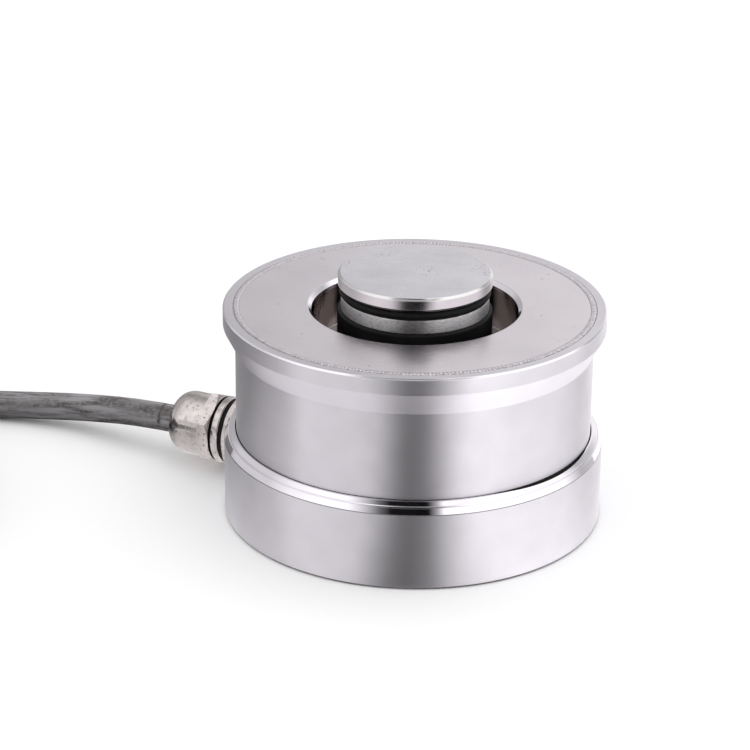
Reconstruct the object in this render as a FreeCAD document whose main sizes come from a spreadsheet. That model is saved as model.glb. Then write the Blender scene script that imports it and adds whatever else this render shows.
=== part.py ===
import FreeCAD, Part
import math
import os
import Sketcher
from FreeCAD import Placement, Rotation, Vector

# Ring-torsion load cell, in millimetres.
# The origin is the centre of the base ring on the surface that it stands on, and +Z points up its axis.
# The cable leaves the base ring through a radial gland at the gland_azimuth.

SIZES = (
    ("body_height", 50, "housing, from the floor to the top face"),
    ("thrust_rise", 8, "top of the thrust piece above the housing"),
    ("head_diameter", 35, "head of the thrust piece"),
    ("head_height", 3.35, "head of the thrust piece"),
    ("head_edge_break", 0.5, "chamfers of the thrust piece"),
    ("head_ring_setback", 0.3, "head O-ring inside the edge of the head"),
    ("land_setback", 0.7, "land inside the edge of the head"),
    ("land_height", 3.15, "land under the head groove"),
    ("o_ring_section", 1.9, "both O-rings of the thrust piece"),
    ("o_ring_clearance", 0.05, "gap outside the foot O-ring"),
    ("groove_play", 0.1, "groove wider than its O-ring"),
    ("foot_diameter", 35.2, "foot of the thrust piece and the sleeve above it"),
    ("sleeve_wall", 3.6, "black rubber sleeve round the stem"),
    ("foot_groove_height", 2, "foot groove above the seat floor"),
    ("foot_lip", 1.7, "foot above its groove"),
    ("seat_clearance", 0.2, "radial gap between foot and seat"),
    ("seat_depth", 6, "ledge to the floor that carries the thrust piece"),
    ("bore_gap", 5.8, "radial gap between foot and bore"),
    ("bore_depth", 11, "top face to the ledge in the bore"),
    ("bore_wall", 2.8, "tube round the bore"),
    ("bore_chamfer", 0.9, "chamfer of the bore in the top cover"),
    ("torsion_ring_width", 11.3, "tube to the outer wall of the chambers"),
    ("torsion_ring_base", 17, "underside of the torsion ring"),
    ("torsion_ring_height", 14, "thickness of the torsion ring"),
    ("hub_drop", 3, "load hub under the torsion ring"),
    ("waist_wall", 3.25, "wall of the waist"),
    ("waist_root_fillet", 0.5, "fillet at the foot of the waist"),
    ("shoulder_ledge", 0.05, "flat between that fillet and the shoulder"),
    ("flat_bevel_width", 1.3, "inner bevel of the shoulder"),
    ("flat_bevel_height", 0.95, "inner bevel of the shoulder"),
    ("steep_bevel_width", 0.9, "outer bevel of the shoulder"),
    ("steep_bevel_height", 1.55, "outer bevel of the shoulder"),
    ("base_wall_height", 18, "straight wall of the base ring"),
    ("base_edge_break", 0.5, "chamfer at the foot of the base ring"),
    ("flange_overhang", 2.75, "rim of the flange outside the waist"),
    ("flange_rim_height", 3.8, "straight rim of the top flange"),
    ("flange_cone_height", 5.4, "cone from the waist to the rim"),
    ("flange_edge_break", 0.35, "chamfer of the top edge"),
    ("rim_wall", 2.3, "rim of the flange round the top cover"),
    ("cover_thickness", 1.6, "top and bottom cover plates"),
    ("cover_clearance", 0.05, "radial gap round a cover plate"),
    ("weld_bead_width", 1.35, "weld round the top cover"),
    ("weld_bead_flank", 0.34, "sloping sides of the weld"),
    ("weld_bead_height", 0.15, "weld round the top cover"),
    ("bottom_cover_ledge", 2, "seat of the bottom cover outside the chamber"),
    ("bottom_cover_recess", 0.8, "bottom cover above the floor"),
    ("wire_hole_diameter", 2.2, "wire passages through the torsion ring"),
    ("wire_hole_count", 2, "wire passages through the torsion ring"),
    ("gauge_thickness", 0.15, "ring-shaped strain gauges"),
    ("gauge_edge_gap", 1, "gauge to the wall of its chamber"),
    ("gauge_hole_gap", 0.15, "gauge to the wire passages"),
    ("gauge_wire_diameter", 0.6, "wires of the strain gauges"),
    ("board_diameter", 44, "round bridge board"),
    ("board_thickness", 1.6, "round bridge board"),
    ("board_screw_edge", 6, "screws inside the edge of the board"),
    ("board_screw_count", 3, "screws of the bridge board"),
    ("standoff_diameter", 5, "standoffs of the bridge board"),
    ("standoff_height", 3.4, "standoffs of the bridge board"),
    ("screw_diameter", 2.5, "screws of the bridge board"),
    ("screw_clearance", 0.1, "radial gap round a screw in board and standoff"),
    ("screw_head_diameter", 4.5, "screws of the bridge board"),
    ("screw_head_height", 1.6, "screws of the bridge board"),
    ("screw_grip", 5, "thread of a screw in the hub"),
    ("resistor_diameter", 2.2, "trim resistors"),
    ("resistor_length", 6, "trim resistors"),
    ("resistor_gap", 3.4, "trim resistors inside the standoffs"),
    ("resistor_count", 4, "trim resistors"),
    ("terminal_diameter", 1.4, "solder terminals"),
    ("terminal_height", 1.2, "solder terminals"),
    ("terminal_edge", 1.8, "solder terminals inside the edge of the board"),
    ("terminal_pitch", 2.4, "solder terminals side by side"),
    ("core_diameter", 1.1, "cable cores inside the cell"),
    ("core_gap", 0.15, "between cores in the cable"),
    ("core_level_gap", 5.2, "cores level with the terminals, outside the board"),
    ("cable_diameter", 6.8, "sheathed cable"),
    ("cable_gap", 0.15, "radial gap round the cable in gland and nut"),
    ("cable_setback", 3.7, "end of the sheath inside the gland"),
    ("cable_straight", 7.5, "straight cable outside the nut"),
    ("seal_insert_wall", 0.9, "rubber seal round the cable"),
    ("clamp_insert_wall", 0.7, "clamping insert round the seal"),
    ("gland_clearance", 0.05, "radial gaps inside the gland"),
    ("gland_neck_wall", 0.75, "neck under the nut"),
    ("gland_thread_step", 0.2, "thread outside the neck"),
    ("gland_thread_length", 4.5, "gland thread in the base ring"),
    ("gland_nut_wall", 1.95, "neck to the flats of the hexagons"),
    ("gland_hex_length", 3.75, "hexagon of the gland body"),
    ("gland_body_turn", 32, "turn of the body hexagon, in degrees"),
    ("gland_nut_turn", 25, "turn of the nut hexagon, in degrees"),
    ("gland_ring_width", 1.05, "black ring on the gland body"),
    ("gland_ring_setback", 0.1, "black ring inside the flats"),
    ("gland_collar_width", 2.1, "round collar behind the nut"),
    ("gland_collar_proud", 0.2, "round collar outside the flats"),
    ("gland_collar_break", 0.3, "edges of the round collar"),
    ("gland_nut_gap", 0.3, "between collar and nut"),
    ("gland_nut_hex_length", 3.2, "hexagon of the domed nut"),
    ("gland_dome_length", 9.25, "crown of the domed nut"),
    ("gland_dome_fillet", 4.1, "rounding of the crown"),
    ("gland_lip", 1.2, "mouth of the crown round the cable"),
    ("gland_throat_length", 2, "cone inside the crown"),
    ("gland_azimuth", 154.8, "gland about the axis, in degrees from +X"),
    ("gland_floor_gap", 0.243, "hexagon corner above the floor"),
    ("spot_face_margin", 0.6, "flat on the base ring outside the hexagon"),
    ("spot_face_depth", 0.95, "flat for the gland on the base ring"),
    ("gland_cut_start", 5, "start of the gland cuts outside the base ring"),
    ("coil_center_across", -172, "coil centre along X"),
    ("coil_mean_radius", 42, "middle of the turns"),
    ("coil_gap", 0.1, "between turns, sideways and upwards"),
    ("coil_turns_wide", 5, "turns side by side"),
    ("coil_layers", 3, "whole layers under the top layer"),
    ("coil_top_turns", 3, "turns side by side in the top layer"),
    ("coil_edge_fillet", 3, "outer edges of the coil"),
    ("coil_lead_in", 32, "straight end that joins the coil"),
    ("coil_lead_line", 48, "lead-in line along Y"),
    ("coil_level_run", 9, "level cable before the lead-in"),
    ("tail_turn", 216, "last turn on top of the coil, in degrees"),
    ("tie_thickness", 1.2, "straps round the coil"),
    ("tie_width", 5, "straps round the coil"),
    ("tie_gap", 0.2, "strap to coil"),
    ("end_sleeve_length", 10, "shrunk sleeve at the cable end"),
    ("end_sleeve_tip", 4.8, "small end of the shrunk sleeve"),
    ("lead_diameter", 1.2, "stripped leads"),
    ("lead_gap", 0.16, "between leads in the sleeve"),
    ("lead_spread_gap", 0.8, "between leads at their ends"),
    ("lead_straight", 3.2, "leads before they fan out"),
    ("lead_landing", 10.4, "leads down on the coil, from the sleeve"),
    ("lead_length", 16, "leads from the sleeve, measured straight"),
    ("lead_tip_diameter", 0.9, "bare end of a lead"),
    ("lead_tip_length", 4, "bare end of a lead"),
)

LEAD_NAMES = ("red", "black", "green", "white", "blue", "yellow")
GAUGE_COUNT = 4
TIE_AZIMUTHS = (150, 262)
TOLERANCE = 1e-4

doc = FreeCAD.newDocument("load_cell")
sheet = doc.addObject("Spreadsheet::Sheet", "dims")
for row, (alias, number, note) in enumerate(SIZES, start=1):
    sheet.set(f"A{row}", note)
    sheet.set(f"B{row}", str(number))
    sheet.setAlias(f"B{row}", alias)
doc.recompute()

# Radii that several pieces share, as expressions on the sheet.
# They grow outwards from the thrust piece, so that the base ring comes out 87 across.
HEAD_RADIUS = "dims.head_diameter / 2"
FOOT_RADIUS = "dims.foot_diameter / 2"
STEM_RADIUS = "(dims.foot_diameter / 2 - dims.sleeve_wall)"
SEAT_RADIUS = "(dims.foot_diameter / 2 + dims.seat_clearance)"
BORE_RADIUS = "(dims.foot_diameter / 2 + dims.bore_gap)"
HUB_RADIUS = f"({BORE_RADIUS} + dims.bore_wall)"
CHAMBER_RADIUS = f"({HUB_RADIUS} + dims.torsion_ring_width)"
WAIST_RADIUS = f"({CHAMBER_RADIUS} + dims.waist_wall)"
SHOULDER_RADIUS = f"({WAIST_RADIUS} + dims.waist_root_fillet + dims.shoulder_ledge)"
BEVEL_RADIUS = f"({SHOULDER_RADIUS} + dims.flat_bevel_width)"
BASE_RADIUS = f"({BEVEL_RADIUS} + dims.steep_bevel_width)"
FLANGE_RADIUS = f"({WAIST_RADIUS} + dims.flange_overhang)"
TOP_COVER_RADIUS = f"({FLANGE_RADIUS} - dims.rim_wall)"
BOTTOM_COVER_RADIUS = f"({CHAMBER_RADIUS} + dims.bottom_cover_ledge)"
HEAD_GROOVE_RADIUS = f"({HEAD_RADIUS} - dims.head_ring_setback - dims.o_ring_section)"
FOOT_GROOVE_RADIUS = f"({SEAT_RADIUS} - dims.o_ring_clearance - dims.o_ring_section)"
WIRE_CIRCLE = f"({HUB_RADIUS} + dims.torsion_ring_width / 2)"
GAUGE_WIDTH = ("((dims.torsion_ring_width - dims.wire_hole_diameter) / 2"
               " - dims.gauge_edge_gap - dims.gauge_hole_gap)")
BOARD_RADIUS = "dims.board_diameter / 2"
BOARD_SCREW_CIRCLE = f"({BOARD_RADIUS} - dims.board_screw_edge)"
RESISTOR_CIRCLE = (f"({BOARD_SCREW_CIRCLE} - dims.standoff_diameter / 2"
                   " - dims.resistor_diameter / 2 - dims.resistor_gap)")
TERMINAL_CIRCLE = f"({BOARD_RADIUS} - dims.terminal_edge)"

# Heights above the floor.
TOP = "dims.body_height"
BEVEL = "(dims.base_wall_height + dims.steep_bevel_height)"
SHOULDER = f"({BEVEL} + dims.flat_bevel_height)"
RIM_FOOT = f"({TOP} - dims.flange_rim_height)"
COVER_SEAT = f"({TOP} - dims.cover_thickness)"
LEDGE = f"({TOP} - dims.bore_depth)"
SEAT = f"({LEDGE} - dims.seat_depth)"
BOTTOM_SEAT = "(dims.bottom_cover_recess + dims.cover_thickness)"
RING_TOP = "(dims.torsion_ring_base + dims.torsion_ring_height)"
HUB_BASE = "(dims.torsion_ring_base - dims.hub_drop)"
GROOVE_WIDTH = "(dims.o_ring_section + dims.groove_play)"
THRUST_TOP = f"({TOP} + dims.thrust_rise)"
HEAD_FOOT = f"({THRUST_TOP} - dims.head_height)"
LAND_TOP = f"({HEAD_FOOT} - {GROOVE_WIDTH})"
LAND_FOOT = f"({LAND_TOP} - dims.land_height)"
FOOT_GROOVE = f"({SEAT} + dims.foot_groove_height)"
FOOT_GROOVE_TOP = f"({FOOT_GROOVE} + {GROOVE_WIDTH})"
FOOT_TOP = f"({FOOT_GROOVE_TOP} + dims.foot_lip)"
BOARD_TOP = f"({HUB_BASE} - dims.standoff_height)"
BOARD_FOOT = f"({BOARD_TOP} - dims.board_thickness)"
TERMINAL_TOP = f"({BOARD_TOP} + dims.terminal_height)"

# The gland: radii from the cable outwards, then distances along its axis from the axis of the cell.
CABLE_RADIUS = "dims.cable_diameter / 2"
CABLE_HOLE = f"({CABLE_RADIUS} + dims.cable_gap)"
SEAL_RADIUS = f"({CABLE_RADIUS} + dims.seal_insert_wall)"
CLAMP_RADIUS = f"({SEAL_RADIUS} + dims.clamp_insert_wall)"
NECK_BORE = f"({CLAMP_RADIUS} + dims.gland_clearance)"
NECK_RADIUS = f"({NECK_BORE} + dims.gland_neck_wall)"
THREAD_RADIUS = f"({NECK_RADIUS} + dims.gland_thread_step)"
NUT_BORE = f"({NECK_RADIUS} + dims.gland_clearance)"
FLAT_RADIUS = f"({NUT_BORE} + dims.gland_nut_wall)"
CORNER_RADIUS = f"({FLAT_RADIUS} / cos(30 deg))"
RING_RADIUS = f"({FLAT_RADIUS} - dims.gland_ring_setback)"
COLLAR_RADIUS = f"({FLAT_RADIUS} + dims.gland_collar_proud)"
SPOT_FACE_RADIUS = f"({CORNER_RADIUS} + dims.spot_face_margin)"
GLAND_HEIGHT = f"({CORNER_RADIUS} + dims.gland_floor_gap)"
SPOT_FACE = f"({BASE_RADIUS} - dims.spot_face_depth)"
THREAD_END = f"({SPOT_FACE} - dims.gland_thread_length)"
NECK_FOOT = f"({SPOT_FACE} + dims.gland_hex_length)"
CABLE_START = f"({NECK_FOOT} + dims.cable_setback)"
COLLAR_FOOT = f"({NECK_FOOT} + dims.gland_ring_width)"
COLLAR_END = f"({COLLAR_FOOT} + dims.gland_collar_width)"
NUT_FOOT = f"({COLLAR_END} + dims.gland_nut_gap)"
NUT_SHOULDER = f"({NUT_FOOT} + dims.gland_nut_hex_length)"
NUT_FACE = f"({NUT_SHOULDER} + dims.gland_dome_length)"
NUT_MOUTH = f"({NUT_FACE} - dims.gland_lip)"
THROAT_FOOT = f"({NUT_MOUTH} - dims.gland_throat_length)"

# The coil lies on its two straps, so its lowest turn is a strap and a gap above the floor.
COIL_PITCH = "(dims.cable_diameter + dims.coil_gap)"
COIL_FOOT = "(dims.tie_thickness + dims.tie_gap)"
COIL_LINE = f"({COIL_FOOT} + {CABLE_RADIUS})"
COIL_HALF = f"(dims.coil_turns_wide * {COIL_PITCH} / 2)"
COIL_INSIDE = f"(dims.coil_mean_radius - {COIL_HALF})"
COIL_OUTSIDE = f"(dims.coil_mean_radius + {COIL_HALF})"
COIL_OUTER_TURN = f"({COIL_OUTSIDE} - {COIL_PITCH} / 2)"
COIL_STEP = f"({COIL_FOOT} + dims.coil_layers * {COIL_PITCH})"
COIL_TOP = f"({COIL_STEP} + {COIL_PITCH})"
COIL_STEP_RADIUS = f"({COIL_INSIDE} + dims.coil_top_turns * {COIL_PITCH})"
COIL_CENTER_Y = f"(dims.coil_lead_line - {COIL_OUTER_TURN})"
TAIL_RADIUS = f"({COIL_STEP_RADIUS} + {COIL_PITCH} / 2)"
TAIL_LINE = f"({COIL_STEP} + {COIL_PITCH} / 2)"


def value(expression):
    """Number that an expression on the sheet gives."""
    return float(sheet.evalExpression(expression))


def plane(body, role):
    """Origin plane of a body, found by its role."""
    return next(item for item in body.Origin.OriginFeatures if item.Role == role)


def new_body(label):
    """Empty body whose label names its file."""
    body = doc.addObject("PartDesign::Body", label)
    body.Label = label
    return body


def new_sketch(body, role):
    """Empty sketch on an origin plane of the body."""
    sketch = body.newObject("Sketcher::SketchObject", f"{body.Label}_sketch")
    sketch.AttachmentSupport = (plane(body, role), [""])
    sketch.MapMode = "FlatFace"
    return sketch


def hold(sketch, kind, shape, corner, expression):
    """Ties one coordinate of a point to an expression, or to an axis where it is nought."""
    if expression == "0":
        axis = -2 if kind == "DistanceX" else -1
        sketch.addConstraint(Sketcher.Constraint("PointOnObject", shape, corner, axis))
        return
    constraint = Sketcher.Constraint(kind, -1, 1, shape, corner, value(expression))
    index = sketch.addConstraint(constraint)
    sketch.setExpression(f"Constraints[{index}]", expression)


def draw_outline(sketch, corners):
    """Closed outline through corners, each given as two expressions."""
    places = [Vector(value(across), value(up), 0) for across, up in corners]
    first = sketch.GeometryCount
    count = len(corners)
    for index in range(count):
        line = Part.LineSegment(places[index], places[(index + 1) % count])
        sketch.addGeometry(line, False)
    for index in range(count):
        follower = first + (index + 1) % count
        sketch.addConstraint(Sketcher.Constraint("Coincident", first + index, 2, follower, 1))
    for index, (across, up) in enumerate(corners):
        hold(sketch, "DistanceX", first + index, 1, across)
        hold(sketch, "DistanceY", first + index, 1, up)


def draw_circle(sketch, across, up, radius):
    """Circle whose centre and radius are expressions."""
    center = Vector(value(across), value(up), 0)
    shape = sketch.addGeometry(Part.Circle(center, Vector(0, 0, 1), value(radius)), False)
    hold(sketch, "DistanceX", shape, 3, across)
    hold(sketch, "DistanceY", shape, 3, up)
    index = sketch.addConstraint(Sketcher.Constraint("Radius", shape, value(radius)))
    sketch.setExpression(f"Constraints[{index}]", radius)


def turn(body, corners, axis="V_Axis", kind="Revolution"):
    """Revolves an outline of the body's XZ plane, as added material or as a groove."""
    sketch = new_sketch(body, "XZ_Plane")
    draw_outline(sketch, corners)
    feature = body.newObject(f"PartDesign::{kind}", f"{body.Label}_{kind.lower()}")
    feature.Profile = sketch
    feature.ReferenceAxis = (sketch, [axis])
    feature.Angle = 360
    doc.recompute()
    return feature


def lift_sketch(sketch, expression):
    """Moves a sketch along the normal of its plane."""
    sketch.setExpression("AttachmentOffset.Base.z", expression)


def cut_holes(body, height, depth, places, radius, upwards=False):
    """Pocket of like round holes, from one height down, or up into a face that looks down."""
    sketch = new_sketch(body, "XY_Plane")
    lift_sketch(sketch, height)
    for across, up in places:
        draw_circle(sketch, across, up, radius)
    pocket = body.newObject("PartDesign::Pocket", f"{body.Label}_holes")
    pocket.Profile = sketch
    pocket.Reversed = upwards
    pocket.setExpression("Length", depth)
    doc.recompute()


def ring_places(circle_radius, count, start):
    """Places evenly round the axis, as pairs of expressions, from a start angle in degrees."""
    angles = [f"({start} + {index} * 360 / {count}) * 1 deg" for index in range(count)]
    return [(f"{circle_radius} * cos({angle})", f"{circle_radius} * sin({angle})") for angle in angles]


def round_edge(body, feature, radius, place, axis):
    """Fillet on the circular edge of a turned shape at a given radius and place along its axis."""
    names = []
    for index, edge in enumerate(feature.Shape.Edges, start=1):
        curve = edge.Curve
        if not isinstance(curve, Part.Circle):
            continue
        offset = abs(curve.Center.dot(axis) - value(place[1]))
        if abs(curve.Radius - value(place[0])) < TOLERANCE and offset < TOLERANCE:
            names.append(f"Edge{index}")
    fillet = body.newObject("PartDesign::Fillet", f"{body.Label}_fillet")
    fillet.Base = (feature, names)
    fillet.setExpression("Radius", radius)
    doc.recompute()
    return fillet


def turned_piece(label, corners):
    """Body turned about the axis of the cell."""
    body = new_body(label)
    turn(body, corners)
    return body


def disc_ring(label, inside, outside, foot, top):
    """Flat ring about the axis of the cell."""
    return turned_piece(label, [(inside, foot), (outside, foot), (outside, top), (inside, top)])


def o_ring(label, groove_radius, groove_foot):
    """O-ring in the middle of a groove of the thrust piece."""
    ring = doc.addObject("Part::Torus", label)
    ring.Label = label
    ring.setExpression("Radius1", f"{groove_radius} + dims.o_ring_section / 2")
    ring.setExpression("Radius2", "dims.o_ring_section / 2")
    ring.setExpression("Placement.Base.z", f"{groove_foot} + {GROOVE_WIDTH} / 2")
    return ring


def group(label, pieces):
    """Like pieces that share one node, as separate solids."""
    compound = doc.addObject("Part::Compound", label)
    compound.Label = label
    compound.Links = pieces
    return compound


def rod(label, radius, foot, length):
    """Upright round rod at the origin, placed later by its owner."""
    cylinder = doc.addObject("Part::Cylinder", label)
    cylinder.Label = label
    cylinder.setExpression("Radius", radius)
    cylinder.setExpression("Height", length)
    cylinder.setExpression("Placement.Base.z", foot)
    return cylinder


def stand_at(piece, place):
    """Puts an upright piece at a place given as two expressions."""
    piece.setExpression("Placement.Base.x", place[0])
    piece.setExpression("Placement.Base.y", place[1])
    return piece


def gland_hole(body, radius, depth):
    """Round cut along the gland axis, from outside the base ring inwards by a depth from its wall."""
    sketch = new_sketch(body, "YZ_Plane")
    sketch.AttachmentOffset = Placement(Vector(), Rotation(Vector(0, 1, 0), value("dims.gland_azimuth")))
    start = f"({BASE_RADIUS} + dims.gland_cut_start)"
    sketch.setExpression("AttachmentOffset.Rotation.Angle", "dims.gland_azimuth")
    sketch.setExpression("AttachmentOffset.Base.x", f"{start} * sin(dims.gland_azimuth * 1 deg)")
    sketch.setExpression("AttachmentOffset.Base.y", GLAND_HEIGHT)
    sketch.setExpression("AttachmentOffset.Base.z", f"{start} * cos(dims.gland_azimuth * 1 deg)")
    draw_circle(sketch, "0", "0", radius)
    pocket = body.newObject("PartDesign::Pocket", f"{body.Label}_gland_hole")
    pocket.Profile = sketch
    pocket.setExpression("Length", f"{depth} + dims.gland_cut_start")
    doc.recompute()


def measuring_body():
    """Turned body: base ring, waist, flange, torsion ring and load hub in one piece."""
    body = new_body("measuring_body")
    outline = [
        (BOTTOM_COVER_RADIUS, "0"),
        (f"{BASE_RADIUS} - dims.base_edge_break", "0"),
        (BASE_RADIUS, "dims.base_edge_break"),
        (BASE_RADIUS, "dims.base_wall_height"),
        (BEVEL_RADIUS, BEVEL),
        (SHOULDER_RADIUS, SHOULDER),
        (WAIST_RADIUS, SHOULDER),
        (WAIST_RADIUS, f"{RIM_FOOT} - dims.flange_cone_height"),
        (FLANGE_RADIUS, RIM_FOOT),
        (FLANGE_RADIUS, f"{TOP} - dims.flange_edge_break"),
        (f"{FLANGE_RADIUS} - dims.flange_edge_break", TOP),
        (TOP_COVER_RADIUS, TOP),
        (TOP_COVER_RADIUS, COVER_SEAT),
        (CHAMBER_RADIUS, COVER_SEAT),
        (CHAMBER_RADIUS, RING_TOP),
        (HUB_RADIUS, RING_TOP),
        (HUB_RADIUS, COVER_SEAT),
        (BORE_RADIUS, COVER_SEAT),
        (BORE_RADIUS, LEDGE),
        (SEAT_RADIUS, LEDGE),
        (SEAT_RADIUS, SEAT),
        ("0", SEAT),
        ("0", HUB_BASE),
        (HUB_RADIUS, HUB_BASE),
        (HUB_RADIUS, "dims.torsion_ring_base"),
        (CHAMBER_RADIUS, "dims.torsion_ring_base"),
        (CHAMBER_RADIUS, BOTTOM_SEAT),
        (BOTTOM_COVER_RADIUS, BOTTOM_SEAT),
    ]
    blank = turn(body, outline)
    round_edge(body, blank, "dims.waist_root_fillet", (WAIST_RADIUS, SHOULDER), Vector(0, 0, 1))
    gland_hole(body, SPOT_FACE_RADIUS, "dims.spot_face_depth")
    gland_hole(body, THREAD_RADIUS, f"({BASE_RADIUS} - {CHAMBER_RADIUS} + dims.spot_face_depth)")
    cut_holes(body, RING_TOP, "dims.torsion_ring_height", wire_hole_places(), "dims.wire_hole_diameter / 2")
    cut_holes(body, HUB_BASE, "dims.screw_grip", board_screw_places(), "dims.screw_diameter / 2", True)
    return body


def wire_hole_places():
    """Wire passages, square to the gland."""
    count = int(value("dims.wire_hole_count"))
    return ring_places(WIRE_CIRCLE, count, "dims.gland_azimuth + 90")


def board_screw_places():
    """Screws of the bridge board, one of them opposite the gland."""
    count = int(value("dims.board_screw_count"))
    return ring_places(BOARD_SCREW_CIRCLE, count, "dims.gland_azimuth + 180")


def top_cover_plate():
    """Ring plate in the flange, with its bead of weld and the chamfered bore."""
    outside = f"({TOP_COVER_RADIUS} - dims.cover_clearance)"
    bead_inside = f"{outside} - dims.weld_bead_width"
    bead_top = f"{TOP} + dims.weld_bead_height"
    bead_flank = "dims.weld_bead_flank"
    return turned_piece("top_cover_plate", [
        (BORE_RADIUS, COVER_SEAT),
        (outside, COVER_SEAT),
        (outside, TOP),
        (f"{outside} - {bead_flank}", bead_top),
        (f"{bead_inside} + {bead_flank}", bead_top),
        (bead_inside, TOP),
        (f"{BORE_RADIUS} + dims.bore_chamfer", TOP),
        (BORE_RADIUS, f"{TOP} - dims.bore_chamfer"),
    ])


def bottom_cover_plate():
    """Plain disc that closes the lower chamber."""
    outside = f"{BOTTOM_COVER_RADIUS} - dims.cover_clearance"
    return disc_ring("bottom_cover_plate", "0", outside, "dims.bottom_cover_recess", BOTTOM_SEAT)


def thrust_piece():
    """Turned load button with head, O-ring grooves, land, stem and foot."""
    land = f"{HEAD_RADIUS} - dims.land_setback"
    return turned_piece("thrust_piece", [
        ("0", SEAT),
        (f"{FOOT_RADIUS} - dims.head_edge_break", SEAT),
        (FOOT_RADIUS, f"{SEAT} + dims.head_edge_break"),
        (FOOT_RADIUS, FOOT_GROOVE),
        (FOOT_GROOVE_RADIUS, FOOT_GROOVE),
        (FOOT_GROOVE_RADIUS, FOOT_GROOVE_TOP),
        (FOOT_RADIUS, FOOT_GROOVE_TOP),
        (FOOT_RADIUS, FOOT_TOP),
        (STEM_RADIUS, FOOT_TOP),
        (STEM_RADIUS, LAND_FOOT),
        (land, LAND_FOOT),
        (land, LAND_TOP),
        (HEAD_GROOVE_RADIUS, LAND_TOP),
        (HEAD_GROOVE_RADIUS, HEAD_FOOT),
        (HEAD_RADIUS, HEAD_FOOT),
        (HEAD_RADIUS, f"{THRUST_TOP} - dims.head_edge_break"),
        (f"{HEAD_RADIUS} - dims.head_edge_break", THRUST_TOP),
        ("0", THRUST_TOP),
    ])


def thrust_seals():
    """Two O-rings and the black sleeve of the thrust piece."""
    o_ring("head_o_ring", HEAD_GROOVE_RADIUS, LAND_TOP)
    o_ring("foot_o_ring", FOOT_GROOVE_RADIUS, FOOT_GROOVE)
    disc_ring("rubber_sleeve", STEM_RADIUS, FOOT_RADIUS, FOOT_TOP, LAND_FOOT)


def strain_gauges():
    """Two foil rings on each face of the torsion ring."""
    inner_edge = f"{HUB_RADIUS} + dims.gauge_edge_gap"
    outer_edge = f"{CHAMBER_RADIUS} - dims.gauge_edge_gap"
    faces = {
        "upper": (RING_TOP, f"{RING_TOP} + dims.gauge_thickness"),
        "lower": ("dims.torsion_ring_base - dims.gauge_thickness", "dims.torsion_ring_base"),
    }
    for face, (foot, top) in faces.items():
        disc_ring(f"strain_gauge_{face}_inner", inner_edge, f"{inner_edge} + {GAUGE_WIDTH}", foot, top)
        disc_ring(f"strain_gauge_{face}_outer", f"{outer_edge} - {GAUGE_WIDTH}", outer_edge, foot, top)


def bridge_board():
    """Round board under the hub, with clearance holes for its screws."""
    body = disc_ring("bridge_board", "0", BOARD_RADIUS, BOARD_FOOT, BOARD_TOP)
    hole = "dims.screw_diameter / 2 + dims.screw_clearance"
    cut_holes(body, BOARD_TOP, "dims.board_thickness", board_screw_places(), hole)
    return body


def board_fasteners():
    """Tubular standoffs between board and hub, and the screws through them."""
    standoffs = []
    screws = []
    hole = "dims.screw_diameter / 2 + dims.screw_clearance"
    reach = "dims.board_thickness + dims.standoff_height + dims.screw_grip"
    for number, place in enumerate(board_screw_places(), start=1):
        tube = doc.addObject("Part::Cut", f"standoff_{number}")
        tube.Base = stand_at(rod(f"standoff_outside_{number}", "dims.standoff_diameter / 2", BOARD_TOP,
                                 "dims.standoff_height"), place)
        tube.Tool = stand_at(rod(f"standoff_hole_{number}", hole, BOARD_TOP, "dims.standoff_height"), place)
        standoffs.append(tube)
        head = stand_at(rod(f"screw_head_{number}", "dims.screw_head_diameter / 2",
                            f"{BOARD_FOOT} - dims.screw_head_height", "dims.screw_head_height"), place)
        shank = stand_at(rod(f"screw_shank_{number}", "dims.screw_diameter / 2", BOARD_FOOT, reach), place)
        screw = doc.addObject("Part::Fuse", f"screw_{number}")
        screw.Base = head
        screw.Tool = shank
        screws.append(screw)
    group("board_standoffs", standoffs)
    group("board_screws", screws)


def trim_resistors():
    """Small resistors that lie on the board."""
    count = int(value("dims.resistor_count"))
    resistors = []
    for index in range(count):
        azimuth = value("dims.gland_azimuth") + (index + 0.5) * 360 / count
        resistor = doc.addObject("Part::Cylinder", f"resistor_{index + 1}")
        resistor.setExpression("Radius", "dims.resistor_diameter / 2")
        resistor.setExpression("Height", "dims.resistor_length")
        out = Vector(math.cos(math.radians(azimuth)), math.sin(math.radians(azimuth)), 0)
        along = Vector(-out.y, out.x, 0)
        middle = out * value(RESISTOR_CIRCLE)
        middle.z = value(f"{BOARD_TOP} + dims.resistor_diameter / 2")
        start = middle - along * value("dims.resistor_length / 2")
        resistor.Placement = Placement(start, Rotation(Vector(0, 0, 1), along))
        resistors.append(resistor)
    group("trim_resistors", resistors)


def around(azimuth, out, across, height):
    """Point given along and across a direction from the axis of the cell."""
    angle = math.radians(azimuth)
    return Vector(out * math.cos(angle) - across * math.sin(angle),
                  out * math.sin(angle) + across * math.cos(angle), height)


def side_by_side(count, pitch):
    """Places in a row at an even pitch about its middle."""
    return [(index - (count - 1) / 2) * pitch for index in range(count)]


def terminal_rows():
    """Azimuth and sideways places of the solder terminals: six for the cable and four at each wire hole."""
    azimuth = value("dims.gland_azimuth")
    pitch = value("dims.terminal_pitch")
    cable_row = side_by_side(len(LEAD_NAMES), pitch)
    gauge_row = side_by_side(GAUGE_COUNT, pitch)
    count = int(value("dims.wire_hole_count"))
    rows = [(azimuth, cable_row)]
    rows += [(azimuth + 90 + index * 360 / count, gauge_row) for index in range(count)]
    return rows


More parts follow.
